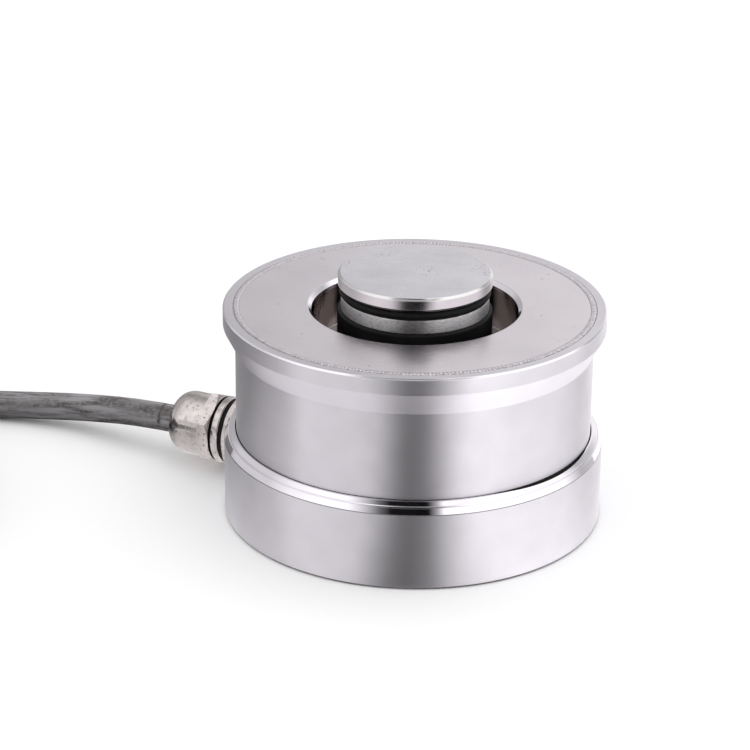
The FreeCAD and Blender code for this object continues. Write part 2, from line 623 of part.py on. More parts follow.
def solder_terminals():
    """Round posts on the board where wires end."""
    posts = []
    for azimuth, row in terminal_rows():
        for across in row:
            post = rod(f"terminal_{len(posts) + 1}", "dims.terminal_diameter / 2", BOARD_TOP,
                       "dims.terminal_height")
            place = around(azimuth, value(TERMINAL_CIRCLE), across, value(BOARD_TOP))
            post.Placement.Base = place
            posts.append(post)
    group("solder_terminals", posts)


def rounded_path(points, report=""):
    """Straight runs joined by tangent arcs, each as large as its two runs allow."""
    share = 0.45
    edges = []
    last = points[0]
    radii = []
    for before, corner, after in zip(points, points[1:], points[2:]):
        arriving = (corner - before).normalize()
        leaving = (after - corner).normalize()
        half_turn = arriving.getAngle(leaving) / 2
        trim = share * min(corner.distanceToPoint(before), corner.distanceToPoint(after))
        radius = trim / math.tan(half_turn)
        radii.append(radius)
        start = corner - arriving * trim
        end = corner + leaving * trim
        inward = (leaving - arriving).normalize()
        middle = corner + inward * (radius / math.cos(half_turn) - radius)
        edges.append(Part.LineSegment(last, start).toShape())
        edges.append(Part.Arc(start, middle, end).toShape())
        last = end
    edges.append(Part.LineSegment(last, points[-1]).toShape())
    if report:
        print(report, "radii", [round(radius, 1) for radius in radii])
    return Part.Wire(edges)


def sweep_round(label, points, radius, report=""):
    """Round wire or cord along a route of points."""
    path = doc.addObject("Part::Feature", f"{label}_path")
    path.Shape = rounded_path(points, report)
    section = doc.addObject("Part::Circle", f"{label}_section")
    section.setExpression("Radius", radius)
    section.Placement = Placement(points[0], Rotation(Vector(0, 0, 1), points[1] - points[0]))
    piece = doc.addObject("Part::Sweep", label)
    piece.Label = label
    piece.Sections = [section]
    piece.Spine = (path, [f"Edge{number}" for number in range(1, len(path.Shape.Edges) + 1)])
    piece.Solid = True
    doc.recompute()
    if report:
        length = path.Shape.Length
        ratio = piece.Shape.Volume / (math.pi * value(radius) ** 2 * length)
        print(report, "length", round(length, 2), "volume ratio", round(ratio, 5))
    return piece


def gauge_wires():
    """Wires from the four gauges at each passage to the terminals of the board."""
    wire_radius = value("dims.gauge_wire_diameter / 2")
    hole = value(WIRE_CIRCLE)
    inner = value(f"{HUB_RADIUS} + dims.gauge_edge_gap + {GAUGE_WIDTH} / 2")
    outer = value(f"{CHAMBER_RADIUS} - dims.gauge_edge_gap - {GAUGE_WIDTH} / 2")
    above = value(f"{RING_TOP} + dims.gauge_thickness") + wire_radius
    below = value("dims.torsion_ring_base - dims.gauge_thickness")
    low = value(TERMINAL_TOP) + wire_radius
    end = value(f"{TERMINAL_CIRCLE} - dims.terminal_diameter / 2")
    side = value("dims.wire_hole_diameter / 4")
    wires = []
    for azimuth, row in terminal_rows()[1:]:
        upper = ((inner, row[1], -side), (outer, row[2], side))
        for start, across, offset in upper:
            through = ((hole, offset, above), (hole, offset, low))
            stations = ((start, offset, above), *through, (end, across, low))
            points = [around(azimuth, *station) for station in stations]
            wires.append(sweep_round(f"gauge_wire_{len(wires) + 1}", points, "dims.gauge_wire_diameter / 2"))
        for start, across in ((inner, row[0]), (outer, row[3])):
            stations = ((start, across, below), (start, across, low), (end, across, low))
            points = [around(azimuth, *station) for station in stations]
            wires.append(sweep_round(f"gauge_wire_{len(wires) + 1}", points, "dims.gauge_wire_diameter / 2"))
    group("gauge_wires", wires)


def cable_cores():
    """Six cable cores from the cable end in the gland to the terminals of the board."""
    azimuth, row = terminal_rows()[0]
    axis = value(GLAND_HEIGHT)
    circle = value("dims.core_diameter + dims.core_gap")
    start = value(CABLE_START)
    mouth = value(THREAD_END)
    board_edge = value(f"{BOARD_RADIUS} + dims.core_level_gap")
    end = value(f"{TERMINAL_CIRCLE} - dims.terminal_diameter / 2")
    low = value(f"{TERMINAL_TOP} + dims.core_diameter / 2")
    count = len(LEAD_NAMES)
    order = (3, 4, 2, 5, 1, 0)
    cores = []
    for index, across in enumerate(row):
        angle = math.radians(order[index] * 360 / count)
        side = circle * math.cos(angle)
        up = axis + circle * math.sin(angle)
        stations = ((start, side, up), (mouth, side, up), (board_edge, across, low), (end, across, low))
        points = [around(azimuth, *station) for station in stations]
        cores.append(sweep_round(f"core_{index + 1}", points, "dims.core_diameter / 2"))
    group("cable_cores", cores)


def on_gland_axis(piece):
    """Turns a piece that was made along +X to the gland axis."""
    piece.Placement = Placement(Vector(), Rotation(Vector(0, 0, 1), value("dims.gland_azimuth")))
    piece.setExpression("Placement.Rotation.Angle", "dims.gland_azimuth")
    piece.setExpression("Placement.Base.z", GLAND_HEIGHT)
    return piece


def hexagon_block(body, foot, length, turned):
    """Hexagon bar along +X, with one corner turned up from the horizontal."""
    sketch = new_sketch(body, "YZ_Plane")
    lift_sketch(sketch, foot)
    draw_outline(sketch, ring_places(CORNER_RADIUS, 6, turned))
    pad = body.newObject("PartDesign::Pad", f"{body.Label}_hexagon")
    pad.Profile = sketch
    pad.setExpression("Length", length)
    doc.recompute()


def trim_hexagon(body, face, inwards):
    """Turns off the corners of a hexagon at one end, inwards being + or - along the axis."""
    beyond = f"({FLAT_RADIUS} * 2)"
    corner = f"{face} {inwards} {FLAT_RADIUS} * tan(30 deg)"
    turn(body, [(face, FLAT_RADIUS), (corner, beyond), (face, beyond)], "H_Axis", "Groove")


def gland_body():
    """Gland body: thread, hexagon and hollow neck."""
    body = new_body("gland_body")
    hexagon_block(body, SPOT_FACE, "dims.gland_hex_length", "dims.gland_body_turn")
    trim_hexagon(body, SPOT_FACE, "+")
    trim_hexagon(body, NECK_FOOT, "-")
    turn(body, [
        (THREAD_END, "0"),
        (THREAD_END, THREAD_RADIUS),
        (SPOT_FACE, THREAD_RADIUS),
        (SPOT_FACE, NECK_RADIUS),
        (THROAT_FOOT, NECK_RADIUS),
        (THROAT_FOOT, "0"),
    ], "H_Axis")
    turn(body, [
        (THREAD_END, "0"),
        (THREAD_END, CABLE_HOLE),
        (NECK_FOOT, CABLE_HOLE),
        (NECK_FOOT, NECK_BORE),
        (THROAT_FOOT, NECK_BORE),
        (THROAT_FOOT, "0"),
    ], "H_Axis", "Groove")
    return on_gland_axis(body)


def gland_tube(label, foot, end, inside, outside):
    """Plain ring or sleeve on the gland axis."""
    body = new_body(label)
    turn(body, [(foot, inside), (foot, outside), (end, outside), (end, inside)], "H_Axis")
    return on_gland_axis(body)


def gland_rings():
    """Black ring and round collar on the neck, and the seal and clamping inserts inside it."""
    gland_tube("gland_seal_ring", NECK_FOOT, COLLAR_FOOT, NUT_BORE, RING_RADIUS)
    gland_tube("gland_seal_insert", NECK_FOOT, THROAT_FOOT, CABLE_RADIUS, SEAL_RADIUS)
    gland_tube("gland_clamp_insert", NECK_FOOT, THROAT_FOOT, SEAL_RADIUS, CLAMP_RADIUS)
    edge = "dims.gland_collar_break"
    collar = new_body("gland_collar")
    turn(collar, [
        (COLLAR_FOOT, NUT_BORE),
        (COLLAR_FOOT, f"{COLLAR_RADIUS} - {edge}"),
        (f"{COLLAR_FOOT} + {edge}", COLLAR_RADIUS),
        (f"{COLLAR_END} - {edge}", COLLAR_RADIUS),
        (COLLAR_END, f"{COLLAR_RADIUS} - {edge}"),
        (COLLAR_END, NUT_BORE),
    ], "H_Axis")
    on_gland_axis(collar)


def gland_dome_nut():
    """Domed nut: hexagon, rounded crown and stepped bore."""
    body = new_body("gland_dome_nut")
    hexagon_block(body, NUT_FOOT, "dims.gland_nut_hex_length", "dims.gland_nut_turn")
    trim_hexagon(body, NUT_FOOT, "+")
    trim_hexagon(body, NUT_SHOULDER, "-")
    crown = [(NUT_FOOT, "0"), (NUT_FOOT, FLAT_RADIUS), (NUT_FACE, FLAT_RADIUS), (NUT_FACE, "0")]
    dome = turn(body, crown, "H_Axis")
    round_edge(body, dome, "dims.gland_dome_fillet", (FLAT_RADIUS, NUT_FACE), Vector(1, 0, 0))
    turn(body, [
        (NUT_FOOT, "0"),
        (NUT_FOOT, NUT_BORE),
        (THROAT_FOOT, NUT_BORE),
        (NUT_MOUTH, CABLE_HOLE),
        (NUT_FACE, CABLE_HOLE),
        (NUT_FACE, "0"),
    ], "H_Axis", "Groove")
    return on_gland_axis(body)


def cable():
    """Free stretch of cable: out of the gland, down to the floor and along it to the coil."""
    azimuth = value("dims.gland_azimuth")
    height = value(GLAND_HEIGHT)
    lead_end = value("dims.coil_center_across + dims.coil_lead_in")
    lead_line = value("dims.coil_lead_line")
    coil_line = value(COIL_LINE)
    route = [
        around(azimuth, value(CABLE_START), 0, height),
        around(azimuth, value(f"{NUT_FACE} + dims.cable_straight"), 0, height),
        Vector(-80, 41.3, 5.6),
        Vector(-98.5, 47.3, 3.45),
        Vector(-120, 47.9, 3.5),
        Vector(lead_end + value("dims.coil_level_run"), lead_line, coil_line),
        Vector(lead_end, lead_line, coil_line),
    ]
    return sweep_round("cable", route, CABLE_RADIUS, "cable")


def cable_coil():
    """Outer shape of the coil, with a narrower top layer and the straight end that the cable joins."""
    ring = new_body("coil_ring")
    corners = [
        (COIL_INSIDE, COIL_FOOT),
        (COIL_OUTSIDE, COIL_FOOT),
        (COIL_OUTSIDE, COIL_STEP),
        (COIL_STEP_RADIUS, COIL_STEP),
        (COIL_STEP_RADIUS, COIL_TOP),
        (COIL_INSIDE, COIL_TOP),
    ]
    turn(ring, corners)
    upright = Vector(0, 0, 1)
    inner_corner = (COIL_STEP_RADIUS, COIL_STEP)
    for edge in corners:
        if edge != inner_corner:
            round_edge(ring, ring.Tip, "dims.coil_edge_fillet", edge, upright)
    ring.setExpression("Placement.Base.x", "dims.coil_center_across")
    ring.setExpression("Placement.Base.y", COIL_CENTER_Y)
    end = rod("coil_lead_in_end", CABLE_RADIUS, COIL_LINE, "dims.coil_lead_in")
    end.Placement.Rotation = Rotation(Vector(0, 1, 0), 90)
    stand_at(end, ("dims.coil_center_across", "dims.coil_lead_line"))
    coil = doc.addObject("Part::Fuse", "cable_coil")
    coil.Label = "cable_coil"
    coil.Base = ring
    coil.Tool = end
    return coil


def cable_tail():
    """Last part turn of the cable, which lies on the whole layers beside the top layer."""
    tail = doc.addObject("Part::Torus", "cable_tail")
    tail.Label = "cable_tail"
    tail.Placement = Placement(Vector(), Rotation(Vector(0, 0, 1), 90))
    tail.setExpression("Radius1", TAIL_RADIUS)
    tail.setExpression("Radius2", CABLE_RADIUS)
    tail.setExpression("Angle3", "dims.tail_turn")
    tail.setExpression("Placement.Base.x", "dims.coil_center_across")
    tail.setExpression("Placement.Base.y", COIL_CENTER_Y)
    tail.setExpression("Placement.Base.z", TAIL_LINE)
    return tail


def coil_tie(label, azimuth):
    """Flat strap round the section of the coil and the tail on it."""
    body = new_body(label)
    inside = f"({COIL_INSIDE} - dims.tie_gap)"
    outside = f"({COIL_OUTSIDE} + dims.tie_gap)"
    top = f"({COIL_TOP} + dims.tie_gap)"
    shoulder = f"({TAIL_RADIUS} + {CABLE_RADIUS})"
    skin = "dims.tie_thickness"
    slope_skin = f"{skin} / 2"
    sketch = new_sketch(body, "XZ_Plane")
    draw_outline(sketch, [
        (f"{inside} - {skin}", "0"),
        (f"{outside} + {skin}", "0"),
        (f"{outside} + {skin}", f"{COIL_STEP} + {slope_skin}"),
        (f"{shoulder} + {slope_skin}", f"{top} + {skin}"),
        (f"{inside} - {skin}", f"{top} + {skin}"),
    ])
    window = [(inside, skin), (outside, skin), (outside, COIL_STEP), (shoulder, top), (inside, top)]
    draw_outline(sketch, window)
    pad = body.newObject("PartDesign::Pad", f"{label}_pad")
    pad.Profile = sketch
    pad.Midplane = True
    pad.setExpression("Length", "dims.tie_width")
    body.Placement = Placement(Vector(), Rotation(Vector(0, 0, 1), azimuth))
    body.setExpression("Placement.Base.x", "dims.coil_center_across")
    body.setExpression("Placement.Base.y", COIL_CENTER_Y)
    doc.recompute()
    return body


def end_frame():
    """Place of the cable end on the coil: its centre, its direction and the side to its left."""
    turn_end = math.radians(90 + value("dims.tail_turn"))
    out = Vector(math.cos(turn_end), math.sin(turn_end), 0)
    along = Vector(-out.y, out.x, 0)
    center = Vector(value("dims.coil_center_across"), value(COIL_CENTER_Y), value(TAIL_LINE))
    return center + out * value(TAIL_RADIUS), along, out * -1


def cable_end_sleeve():
    """Tapered sleeve shrunk over the end of the sheath."""
    place, along, _ = end_frame()
    sleeve = doc.addObject("Part::Cone", "cable_end_sleeve")
    sleeve.Label = "cable_end_sleeve"
    sleeve.setExpression("Radius1", CABLE_RADIUS)
    sleeve.setExpression("Radius2", "dims.end_sleeve_tip / 2")
    sleeve.setExpression("Height", "dims.end_sleeve_length")
    sleeve.Placement = Placement(place, Rotation(Vector(0, 0, 1), along))
    return sleeve


def stripped_leads():
    """Six leads and the screen that fan out of the sleeve on to the coil, with bare tips."""
    place, along, side = end_frame()
    start = place + along * value("dims.end_sleeve_length")
    drop = value(f"{COIL_STEP} + dims.lead_diameter / 2") - start.z
    length = value("dims.lead_length")
    straight = value("dims.lead_straight")
    landing = value("dims.lead_landing")
    names = [f"lead_{name}" for name in LEAD_NAMES[:3]] + ["lead_screen"]
    names += [f"lead_{name}" for name in LEAD_NAMES[3:]]
    fan = side_by_side(len(names), value("dims.lead_diameter + dims.lead_spread_gap"))
    circle = value("dims.lead_diameter + dims.lead_gap")
    lean = circle * math.cos(math.radians(60))
    rise = circle * math.sin(math.radians(60))
    bundles = ((-circle, 0), (-lean, -rise), (-lean, rise), (0, 0), (lean, rise), (lean, -rise), (circle, 0))
    tips = []
    for name, (across, up), spread in zip(names, bundles, fan):
        bundle = side * across + Vector(0, 0, up)
        rest = side * spread + Vector(0, 0, drop)
        points = [
            start + bundle,
            start + bundle + along * straight,
            start + rest + along * landing,
            start + rest + along * length,
        ]
        sweep_round(name, points, "dims.lead_diameter / 2")
        tip = doc.addObject("Part::Cylinder", f"{name}_tip")
        tip.setExpression("Radius", "dims.lead_tip_diameter / 2")
        tip.setExpression("Height", "dims.lead_tip_length")
        tip.Placement = Placement(points[-1], Rotation(Vector(0, 0, 1), along))
        tips.append(tip)
    group("lead_tips", tips)


def check_and_write():
    """Stops at any failed object, then writes each sub-part to its own file."""
    doc.recompute()
    failed = [item.Label for item in doc.Objects if "Invalid" in item.State or "Error" in item.State]
    if failed:
        raise RuntimeError(f"objects failed: {failed}")
    used = set()
    for item in doc.Objects:
        if item.TypeId == "Part::Compound":
            used.update(link.Name for link in item.Links)
        if item.TypeId in ("Part::Cut", "Part::Fuse"):
            used.update((item.Base.Name, item.Tool.Name))
        if item.TypeId == "Part::Sweep":
            used.update([item.Spine[0].Name] + [section.Name for section in item.Sections])
    kinds = ("PartDesign::Body", "Part::Torus", "Part::Compound", "Part::Sweep", "Part::Fuse", "Part::Cone")
    pieces = [item for item in doc.Objects if item.TypeId in kinds and item.Name not in used]
    for piece in pieces:
        if piece.Shape.isNull() or not piece.Shape.isValid() or not piece.Shape.Solids:
            raise RuntimeError(f"{piece.Label} has no valid solid")
    os.makedirs("parts", exist_ok=True)
    for piece in pieces:
        piece.Shape.exportStep(f"parts/{piece.Label}.step")
    print(len(pieces), "nodes written")


measuring_body()
top_cover_plate()
bottom_cover_plate()
thrust_piece()
thrust_seals()
strain_gauges()
bridge_board()
board_fasteners()
trim_resistors()
solder_terminals()
gauge_wires()
cable_cores()
gland_body()
gland_rings()
gland_dome_nut()
cable()
cable_coil()
cable_tail()
for number, tie_azimuth in enumerate(TIE_AZIMUTHS, start=1):
    coil_tie(f"coil_tie_{number}", tie_azimuth)
cable_end_sleeve()
stripped_leads()
check_and_write()
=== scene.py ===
import math

import bmesh
import bpy
from bpy.props import FloatProperty, FloatVectorProperty, IntProperty, PointerProperty
from mathutils import Matrix, Vector


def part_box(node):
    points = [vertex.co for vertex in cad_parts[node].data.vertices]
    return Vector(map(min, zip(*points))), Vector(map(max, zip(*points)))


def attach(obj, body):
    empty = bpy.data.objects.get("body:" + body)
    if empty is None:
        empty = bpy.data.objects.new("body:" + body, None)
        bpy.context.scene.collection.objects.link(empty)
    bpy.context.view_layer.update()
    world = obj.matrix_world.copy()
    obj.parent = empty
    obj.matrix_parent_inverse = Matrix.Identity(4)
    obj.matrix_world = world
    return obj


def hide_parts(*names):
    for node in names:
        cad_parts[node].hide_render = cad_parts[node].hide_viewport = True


bl_info = {
    "name": "Ring torsion load cell",
    "version": (1, 0, 0),
    "blender": (4, 5, 0),
    "location": "3D View > Sidebar > Load cell",
    "description": "Dresses the packed load cell in turned metal, rubber and cable, and sets its studio",
    "category": "Object",
}

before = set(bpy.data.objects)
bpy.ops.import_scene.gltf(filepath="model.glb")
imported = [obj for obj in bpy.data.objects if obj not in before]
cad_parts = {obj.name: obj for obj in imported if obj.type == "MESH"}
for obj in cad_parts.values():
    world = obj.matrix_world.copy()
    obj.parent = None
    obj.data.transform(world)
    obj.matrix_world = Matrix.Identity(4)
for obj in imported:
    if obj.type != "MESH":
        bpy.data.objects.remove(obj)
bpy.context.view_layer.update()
MM = 0.001
UPRIGHT = Vector((0, 0, 1))


# Properties

def length(name, millimetres, description):
    """Length in metres whose default is given in millimetres."""
    return FloatProperty(name=name, description=description, default=millimetres * MM, unit="LENGTH",
                         precision=5)


def angle(name, degrees, description):
    """Angle whose default is given in degrees."""
    return FloatProperty(name=name, description=description, default=math.radians(degrees), subtype="ANGLE")


def colour(name, red, green, blue, description):
    """Linear colour of a finish."""
    return FloatVectorProperty(name=name, description=description, default=(red, green, blue), size=3,
                               min=0, max=1, subtype="COLOR")


def reach(node):
    """Radius of a CAD node that is turned about the axis of the cell."""
    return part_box(node)[1][0]


def foot(node):
    """Lowest height of a CAD node."""
    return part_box(node)[0][2]


def top(node):
    """Greatest height of a CAD node."""
    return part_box(node)[1][2]


class BodySizes(bpy.types.PropertyGroup):
    """Sizes of the turned measuring body and its two covers."""
    base_radius: length("Base radius", reach("measuring_body") / MM, "Base wall and rim of the flange")
    body_top: length("Body top", top("measuring_body") / MM, "Top face of the flange")
    foot_edge: length("Foot edge", 0.5, "Chamfer at the foot of the base ring")
    base_wall_top: length("Base wall top", 18, "Upper edge of the base wall")
    bevel_radius: length("Bevel radius", 42.6, "Edge between the two bevels of the shoulder")
    bevel_height: length("Bevel height", 19.55, "Edge between the two bevels of the shoulder")
    shoulder_radius: length("Shoulder radius", 41.3, "Inner edge of the shoulder")
    shoulder_height: length("Shoulder height", 20.5, "Foot of the waist")
    bead_radius: length("Bead radius", 42.4, "Low wall between the two bevels")
    bead_foot: length("Bead foot", 19.35, "Foot of that low wall")
    groove_width: length("Groove width", 0.28, "Fine groove at the foot of the waist")
    groove_depth: length("Groove depth", 0.8, "Fine groove at the foot of the waist")
    relief_width: length("Relief width", 1.0, "Crescent where the groove widens")
    relief_shift: length("Relief shift", 6.5, "Centre of that crescent's cutter from the axis of the cell")
    relief_bearing: angle("Relief bearing", -42, "Middle of that crescent, from +X")
    waist_radius: length("Waist radius", 40.75, "Wall of the waist")
    cone_foot: length("Cone foot", 40.8, "Lower edge of the cone under the flange")
    rim_foot: length("Rim foot", 46.2, "Lower edge of the rim of the flange")
    rim_edge: length("Rim edge", 0.35, "Chamfer of the top edge")
    recess_radius: length("Recess radius", 41.2, "Recess of the top cover")
    chamber_radius: length("Chamber radius", 37.5, "Closed chambers round the torsion ring")
    hub_radius: length("Hub radius", 26.2, "Tube round the bore")
    bore_radius: length("Bore radius", 23.4, "Bore round the thrust piece")
    ledge_height: length("Ledge height", 39, "Ledge in the bore")
    seat_radius: length("Seat radius", 17.8, "Seat of the thrust piece")
    seat_floor: length("Seat floor", 33, "Floor that carries the thrust piece")
    ring_top: length("Torsion ring top", 31, "Upper face of the torsion ring")
    ring_foot: length("Torsion ring foot", 17, "Lower face of the torsion ring")
    hub_foot: length("Hub foot", 14, "Underside of the load hub")
    bottom_recess: length("Bottom recess", 39.5, "Recess of the bottom cover")
    bore_chamfer: length("Bore chamfer", 0.9, "Chamfer of the bore in the top cover")
    weld_width: length("Weld width", 1.35, "Bead round the top cover")
    weld_flank: length("Weld flank", 0.34, "Sloping side of the bead")
    edge_round: length("Edge rounding", 0.1, "Broken edges of turned pieces")
    steps: IntProperty(name="Steps", description="Facets round a turned piece", default=288, min=48, max=512)


class ThrustSizes(bpy.types.PropertyGroup):
    """Sizes of the thrust piece."""
    head_radius: length("Head radius", 17.5, "Head of the thrust piece")
    head_foot: length("Head foot", 54.65, "Underside of the head")
    head_groove: length("Head groove radius", 15.3, "Floor of the O-ring groove under the head")
    land_radius: length("Land radius", 16.8, "Land under the head groove")
    land_top: length("Land top", 52.65, "Upper face of the land")
    land_foot: length("Land foot", 49.5, "Lower face of the land")
    stem_radius: length("Stem radius", 14, "Stem inside the sleeve")
    foot_top: length("Foot top", 38.7, "Upper face of the foot")
    foot_groove: length("Foot groove radius", 15.85, "Floor of the O-ring groove in the foot")
    foot_groove_top: length("Foot groove top", 37, "Upper side of that groove")
    foot_groove_foot: length("Foot groove foot", 35, "Lower side of that groove")
    head_round: length("Head rounding", 0.9, "Lower edge of the head")
    edge: length("Edge break", 0.5, "Chamfers of the thrust piece")


class GlandSizes(bpy.types.PropertyGroup):
    """Sizes of the cable gland, with places along its axis from the axis of the cell."""
    azimuth: angle("Azimuth", 154.8, "Gland about the axis of the cell, from +X")
    axis_height: length("Axis height", 9.25, "Gland axis above the floor")
    flat_radius: length("Flat radius", 7.8, "Half the width across flats")
    cable_hole: length("Cable hole", 3.55, "Hole round the cable")
    neck_bore: length("Neck bore", 5.05, "Bore of the neck")
    neck_radius: length("Neck radius", 5.8, "Neck under the nut")
    nut_bore: length("Nut bore", 5.85, "Bore of nut, collar and black ring")
    thread_radius: length("Thread radius", 6, "Thread in the base ring")
    thread_end: length("Thread end", 38.05, "Inner end of the thread")
    spot_face: length("Spot face", 42.55, "Flat on the base ring that carries the gland")
    spot_radius: length("Spot face radius", 9.1, "Radius of that flat")
    body_end: length("Body end", 46.3, "End of the body hexagon")
    ring_radius: length("Ring radius", 7.7, "Black ring between body and collar")
    collar_foot: length("Collar foot", 47.35, "Start of the round collar")
    collar_end: length("Collar end", 49.45, "End of the round collar")
    collar_radius: length("Collar radius", 8, "Round collar")
    nut_foot: length("Nut foot", 49.75, "Start of the domed nut")
    nut_shoulder: length("Nut shoulder", 52.95, "End of the nut's hexagon")
    throat: length("Throat", 59, "Start of the cone inside the crown")
    mouth: length("Mouth", 61, "End of the cone inside the crown")
    nut_face: length("Nut face", 62.2, "Face of the crown")
    crown_rounding: length("Crown rounding", 4.1, "Rounding of the crown")
    crown_step: length("Crown step", 0.22, "Crown inside the flats of the nut")
    gap_play: length("Gap play", 0.15, "Worn off either side of the gap between nut and collar")
    body_turn: angle("Body turn", 32, "Turn of the body's hexagon")
    nut_turn: angle("Nut turn", 25, "Turn of the nut's hexagon")
    edge_round: length("Edge rounding", 0.16, "Worn edges of the hexagons")


class CableSizes(bpy.types.PropertyGroup):
    """Sizes of the cable, its coil and its stripped end."""
    diameter: length("Diameter", 6.8, "Sheathed cable")
    total: length("Length", 5000, "Cable from the gland to the end of the sheath")
    coil_across: length("Coil X", -172, "Centre of the coil")
    coil_back: length("Coil Y", -7.8, "Centre of the coil")
    coil_floor: length("Coil line", 4.8, "Middle of the lowest turns")
    coil_pitch: length("Coil pitch", 6.9, "Distance from turn to turn")
    outer_turn: length("Outer turn", 55.8, "Radius of the outer turns")
    inner_turn: length("Inner turn", 28.2, "Radius of the inner turns")
    tail_turn: length("Tail radius", 48.9, "Radius of the last part turn")
    tail_sweep: angle("Tail sweep", 216, "Last part turn on top of the coil")
    turns_wide: IntProperty(name="Turns wide", description="Turns side by side", default=5, min=1)
    top_turns: IntProperty(name="Top turns", description="Turns in the top layer", default=3, min=1)
    points_a_turn: IntProperty(name="Points a turn", description="Route points in a turn", default=16, min=12)
    mark_place: length("Mark place", 3.8, "Dark mark round the sheath, from the nut")
    sleeve_length: length("Sleeve length", 10, "Sleeve shrunk over the cable end")
    sleeve_tip: length("Sleeve tip", 2.4, "Small radius of that sleeve")
    tie_thickness: length("Tie thickness", 1.2, "Straps round the coil")
    tie_width: length("Tie width", 5, "Straps round the coil")
    tie_gap: length("Tie gap", 0.2, "Strap to coil")


class FinishColours(bpy.types.PropertyGroup):
    """Colours of the finishes."""
    steel: colour("Turned steel", 0.78, 0.748, 0.798, "Turned stainless walls")
    cover: colour("Cover steel", 0.725, 0.678, 0.718, "Satin cover plates")
    thrust: colour("Thrust steel", 0.715, 0.692, 0.738, "Head of the thrust piece")
    side: colour("Side steel", 0.71, 0.692, 0.70, "Sides of the thrust piece")
    # The bore's steel is darkened well below the turned steel, as painted shade inside the body.
    bore: colour("Bore steel", 0.38, 0.342, 0.335, "Bore and inside of the body")
    rubber: colour("Black rubber", 0.006, 0.006, 0.006, "Seals and sleeve")
    nickel: colour("Nickel plating", 0.565, 0.52, 0.51, "Cable gland")
    sheath: colour("Cable sheath", 0.255, 0.245, 0.256, "Grey sheath")
    smudge: colour("Sheath smudge", 0.050, 0.041, 0.038, "Rubbed dirt on the sheath")


class StudioSettings(bpy.types.PropertyGroup):
    """Camera and light."""
    lens: FloatProperty(name="Lens", description="Focal length in millimetres", default=127.906, min=1)
    target: FloatVectorProperty(name="Target", description="Point in the middle of the picture",
                                default=(-0.008883, 0, 0.032524), size=3, subtype="XYZ", unit="LENGTH")
    distance: length("Distance", 609.8, "Camera to target")
    elevation: angle("Elevation", 23.01, "Camera above the horizon")
    roll: FloatProperty(name="Roll", description="Turn of the camera about its view", default=0.01,
                        subtype="ANGLE")
    daylight: FloatProperty(name="Soft light", description="Even light from all round", default=1.0, min=0)
    key_power: FloatProperty(name="Key light", description="Right soft box, in watts", default=2.2, min=0)
    fill_power: FloatProperty(name="Fill light", description="Left soft box, in watts", default=0.6, min=0)
    tent_radius: length("Tent radius", 1500, "Light tent that polished metal mirrors")


class LoadCellSettings(bpy.types.PropertyGroup):
    """All settings of the load cell."""
    body: PointerProperty(type=BodySizes, name="Body", description="Measuring body and covers")
    thrust: PointerProperty(type=ThrustSizes, name="Thrust piece", description="Load button")
    gland: PointerProperty(type=GlandSizes, name="Gland", description="Cable gland")
    cable: PointerProperty(type=CableSizes, name="Cable", description="Cable and coil")
    colours: PointerProperty(type=FinishColours, name="Colours", description="Finishes")
    studio: PointerProperty(type=StudioSettings, name="Studio", description="Camera and light")


# Meshes

# Roundings above this size have more segments.
LARGE_ROUNDING = 1 * MM

# Bends between faces from which an edge is drawn sharp, and is worn.
SHARP_ANGLE, WORN_ANGLE = math.radians(50), math.radians(28)

# Facets round the shapes that don't follow the body's setting.
GLAND_STEPS, HOLE_STEPS, SLEEVE_STEPS, TENT_STEPS = 144, 96, 64, 96


def spun(sketch, steps):
    """Spins a half section once about the upright axis."""
    bmesh.ops.spin(sketch, geom=sketch.verts[:] + sketch.edges[:], cent=(0, 0, 0), axis=UPRIGHT,
                   angle=math.tau, steps=steps, use_merge=True)
    bmesh.ops.remove_doubles(sketch, verts=sketch.verts, dist=1e-7)
    bmesh.ops.recalc_face_normals(sketch, faces=sketch.faces)
    return sketch


def turned(corners, steps, closed=True):
    """Shape turned from corners that are given as radius, height and rounding."""
    sketch = bmesh.new()
    points = [sketch.verts.new((radius, 0, height)) for radius, height, _ in corners]
    followers = points[1:] + points[:1] if closed else points[1:]
    for point, follower in zip(points, followers):
        sketch.edges.new((point, follower))
    for rounding in sorted({corner[2] for corner in corners if corner[2] > 0}):
        chosen = [point for point, corner in zip(points, corners) if corner[2] == rounding]
        segments = 12 if rounding > LARGE_ROUNDING else 4
        bmesh.ops.bevel(sketch, geom=chosen, offset=rounding, offset_type="OFFSET", segments=segments,
                        profile=0.5, affect="VERTICES", material=-1)
    return spun(sketch, steps)


def disc(radius, low, high, steps, low_round=0, high_round=0):
    """Solid disc from one height to another."""
    corners = [(0, low, 0), (radius, low, low_round), (radius, high, high_round), (0, high, 0)]
    return turned(corners, steps, closed=False)


def band(inside, outside, low, high, steps, low_round, high_round):
    """Ring from one height to another, with its outer edges rounded."""
    corners = [(inside, low, 0), (outside, low, low_round), (outside, high, high_round), (inside, high, 0)]
    return turned(corners, steps)


def rounded_ring(center_radius, center_height, section, steps):
    """O-ring: a circle spun about the upright axis."""
    sketch = bmesh.new()
    bmesh.ops.create_circle(sketch, segments=32, radius=section / 2,
                            matrix=Matrix.Translation((center_radius, 0, center_height))
                            @ Matrix.Rotation(math.pi / 2, 4, "X"))
    return spun(sketch, steps)


def hexagon(corner_radius, start, end, turn):
    """Upright hexagon bar from one height to another."""
    bar = bmesh.new()
    bmesh.ops.create_circle(bar, segments=6, radius=corner_radius, cap_ends=True,
                            matrix=Matrix.Translation((0, 0, start)) @ Matrix.Rotation(turn, 4, "Z"))
    grown = bmesh.ops.extrude_face_region(bar, geom=bar.faces[:])
    bmesh.ops.translate(bar, verts=grown_points(grown), vec=(0, 0, end - start))
    bmesh.ops.recalc_face_normals(bar, faces=bar.faces)
    return bar


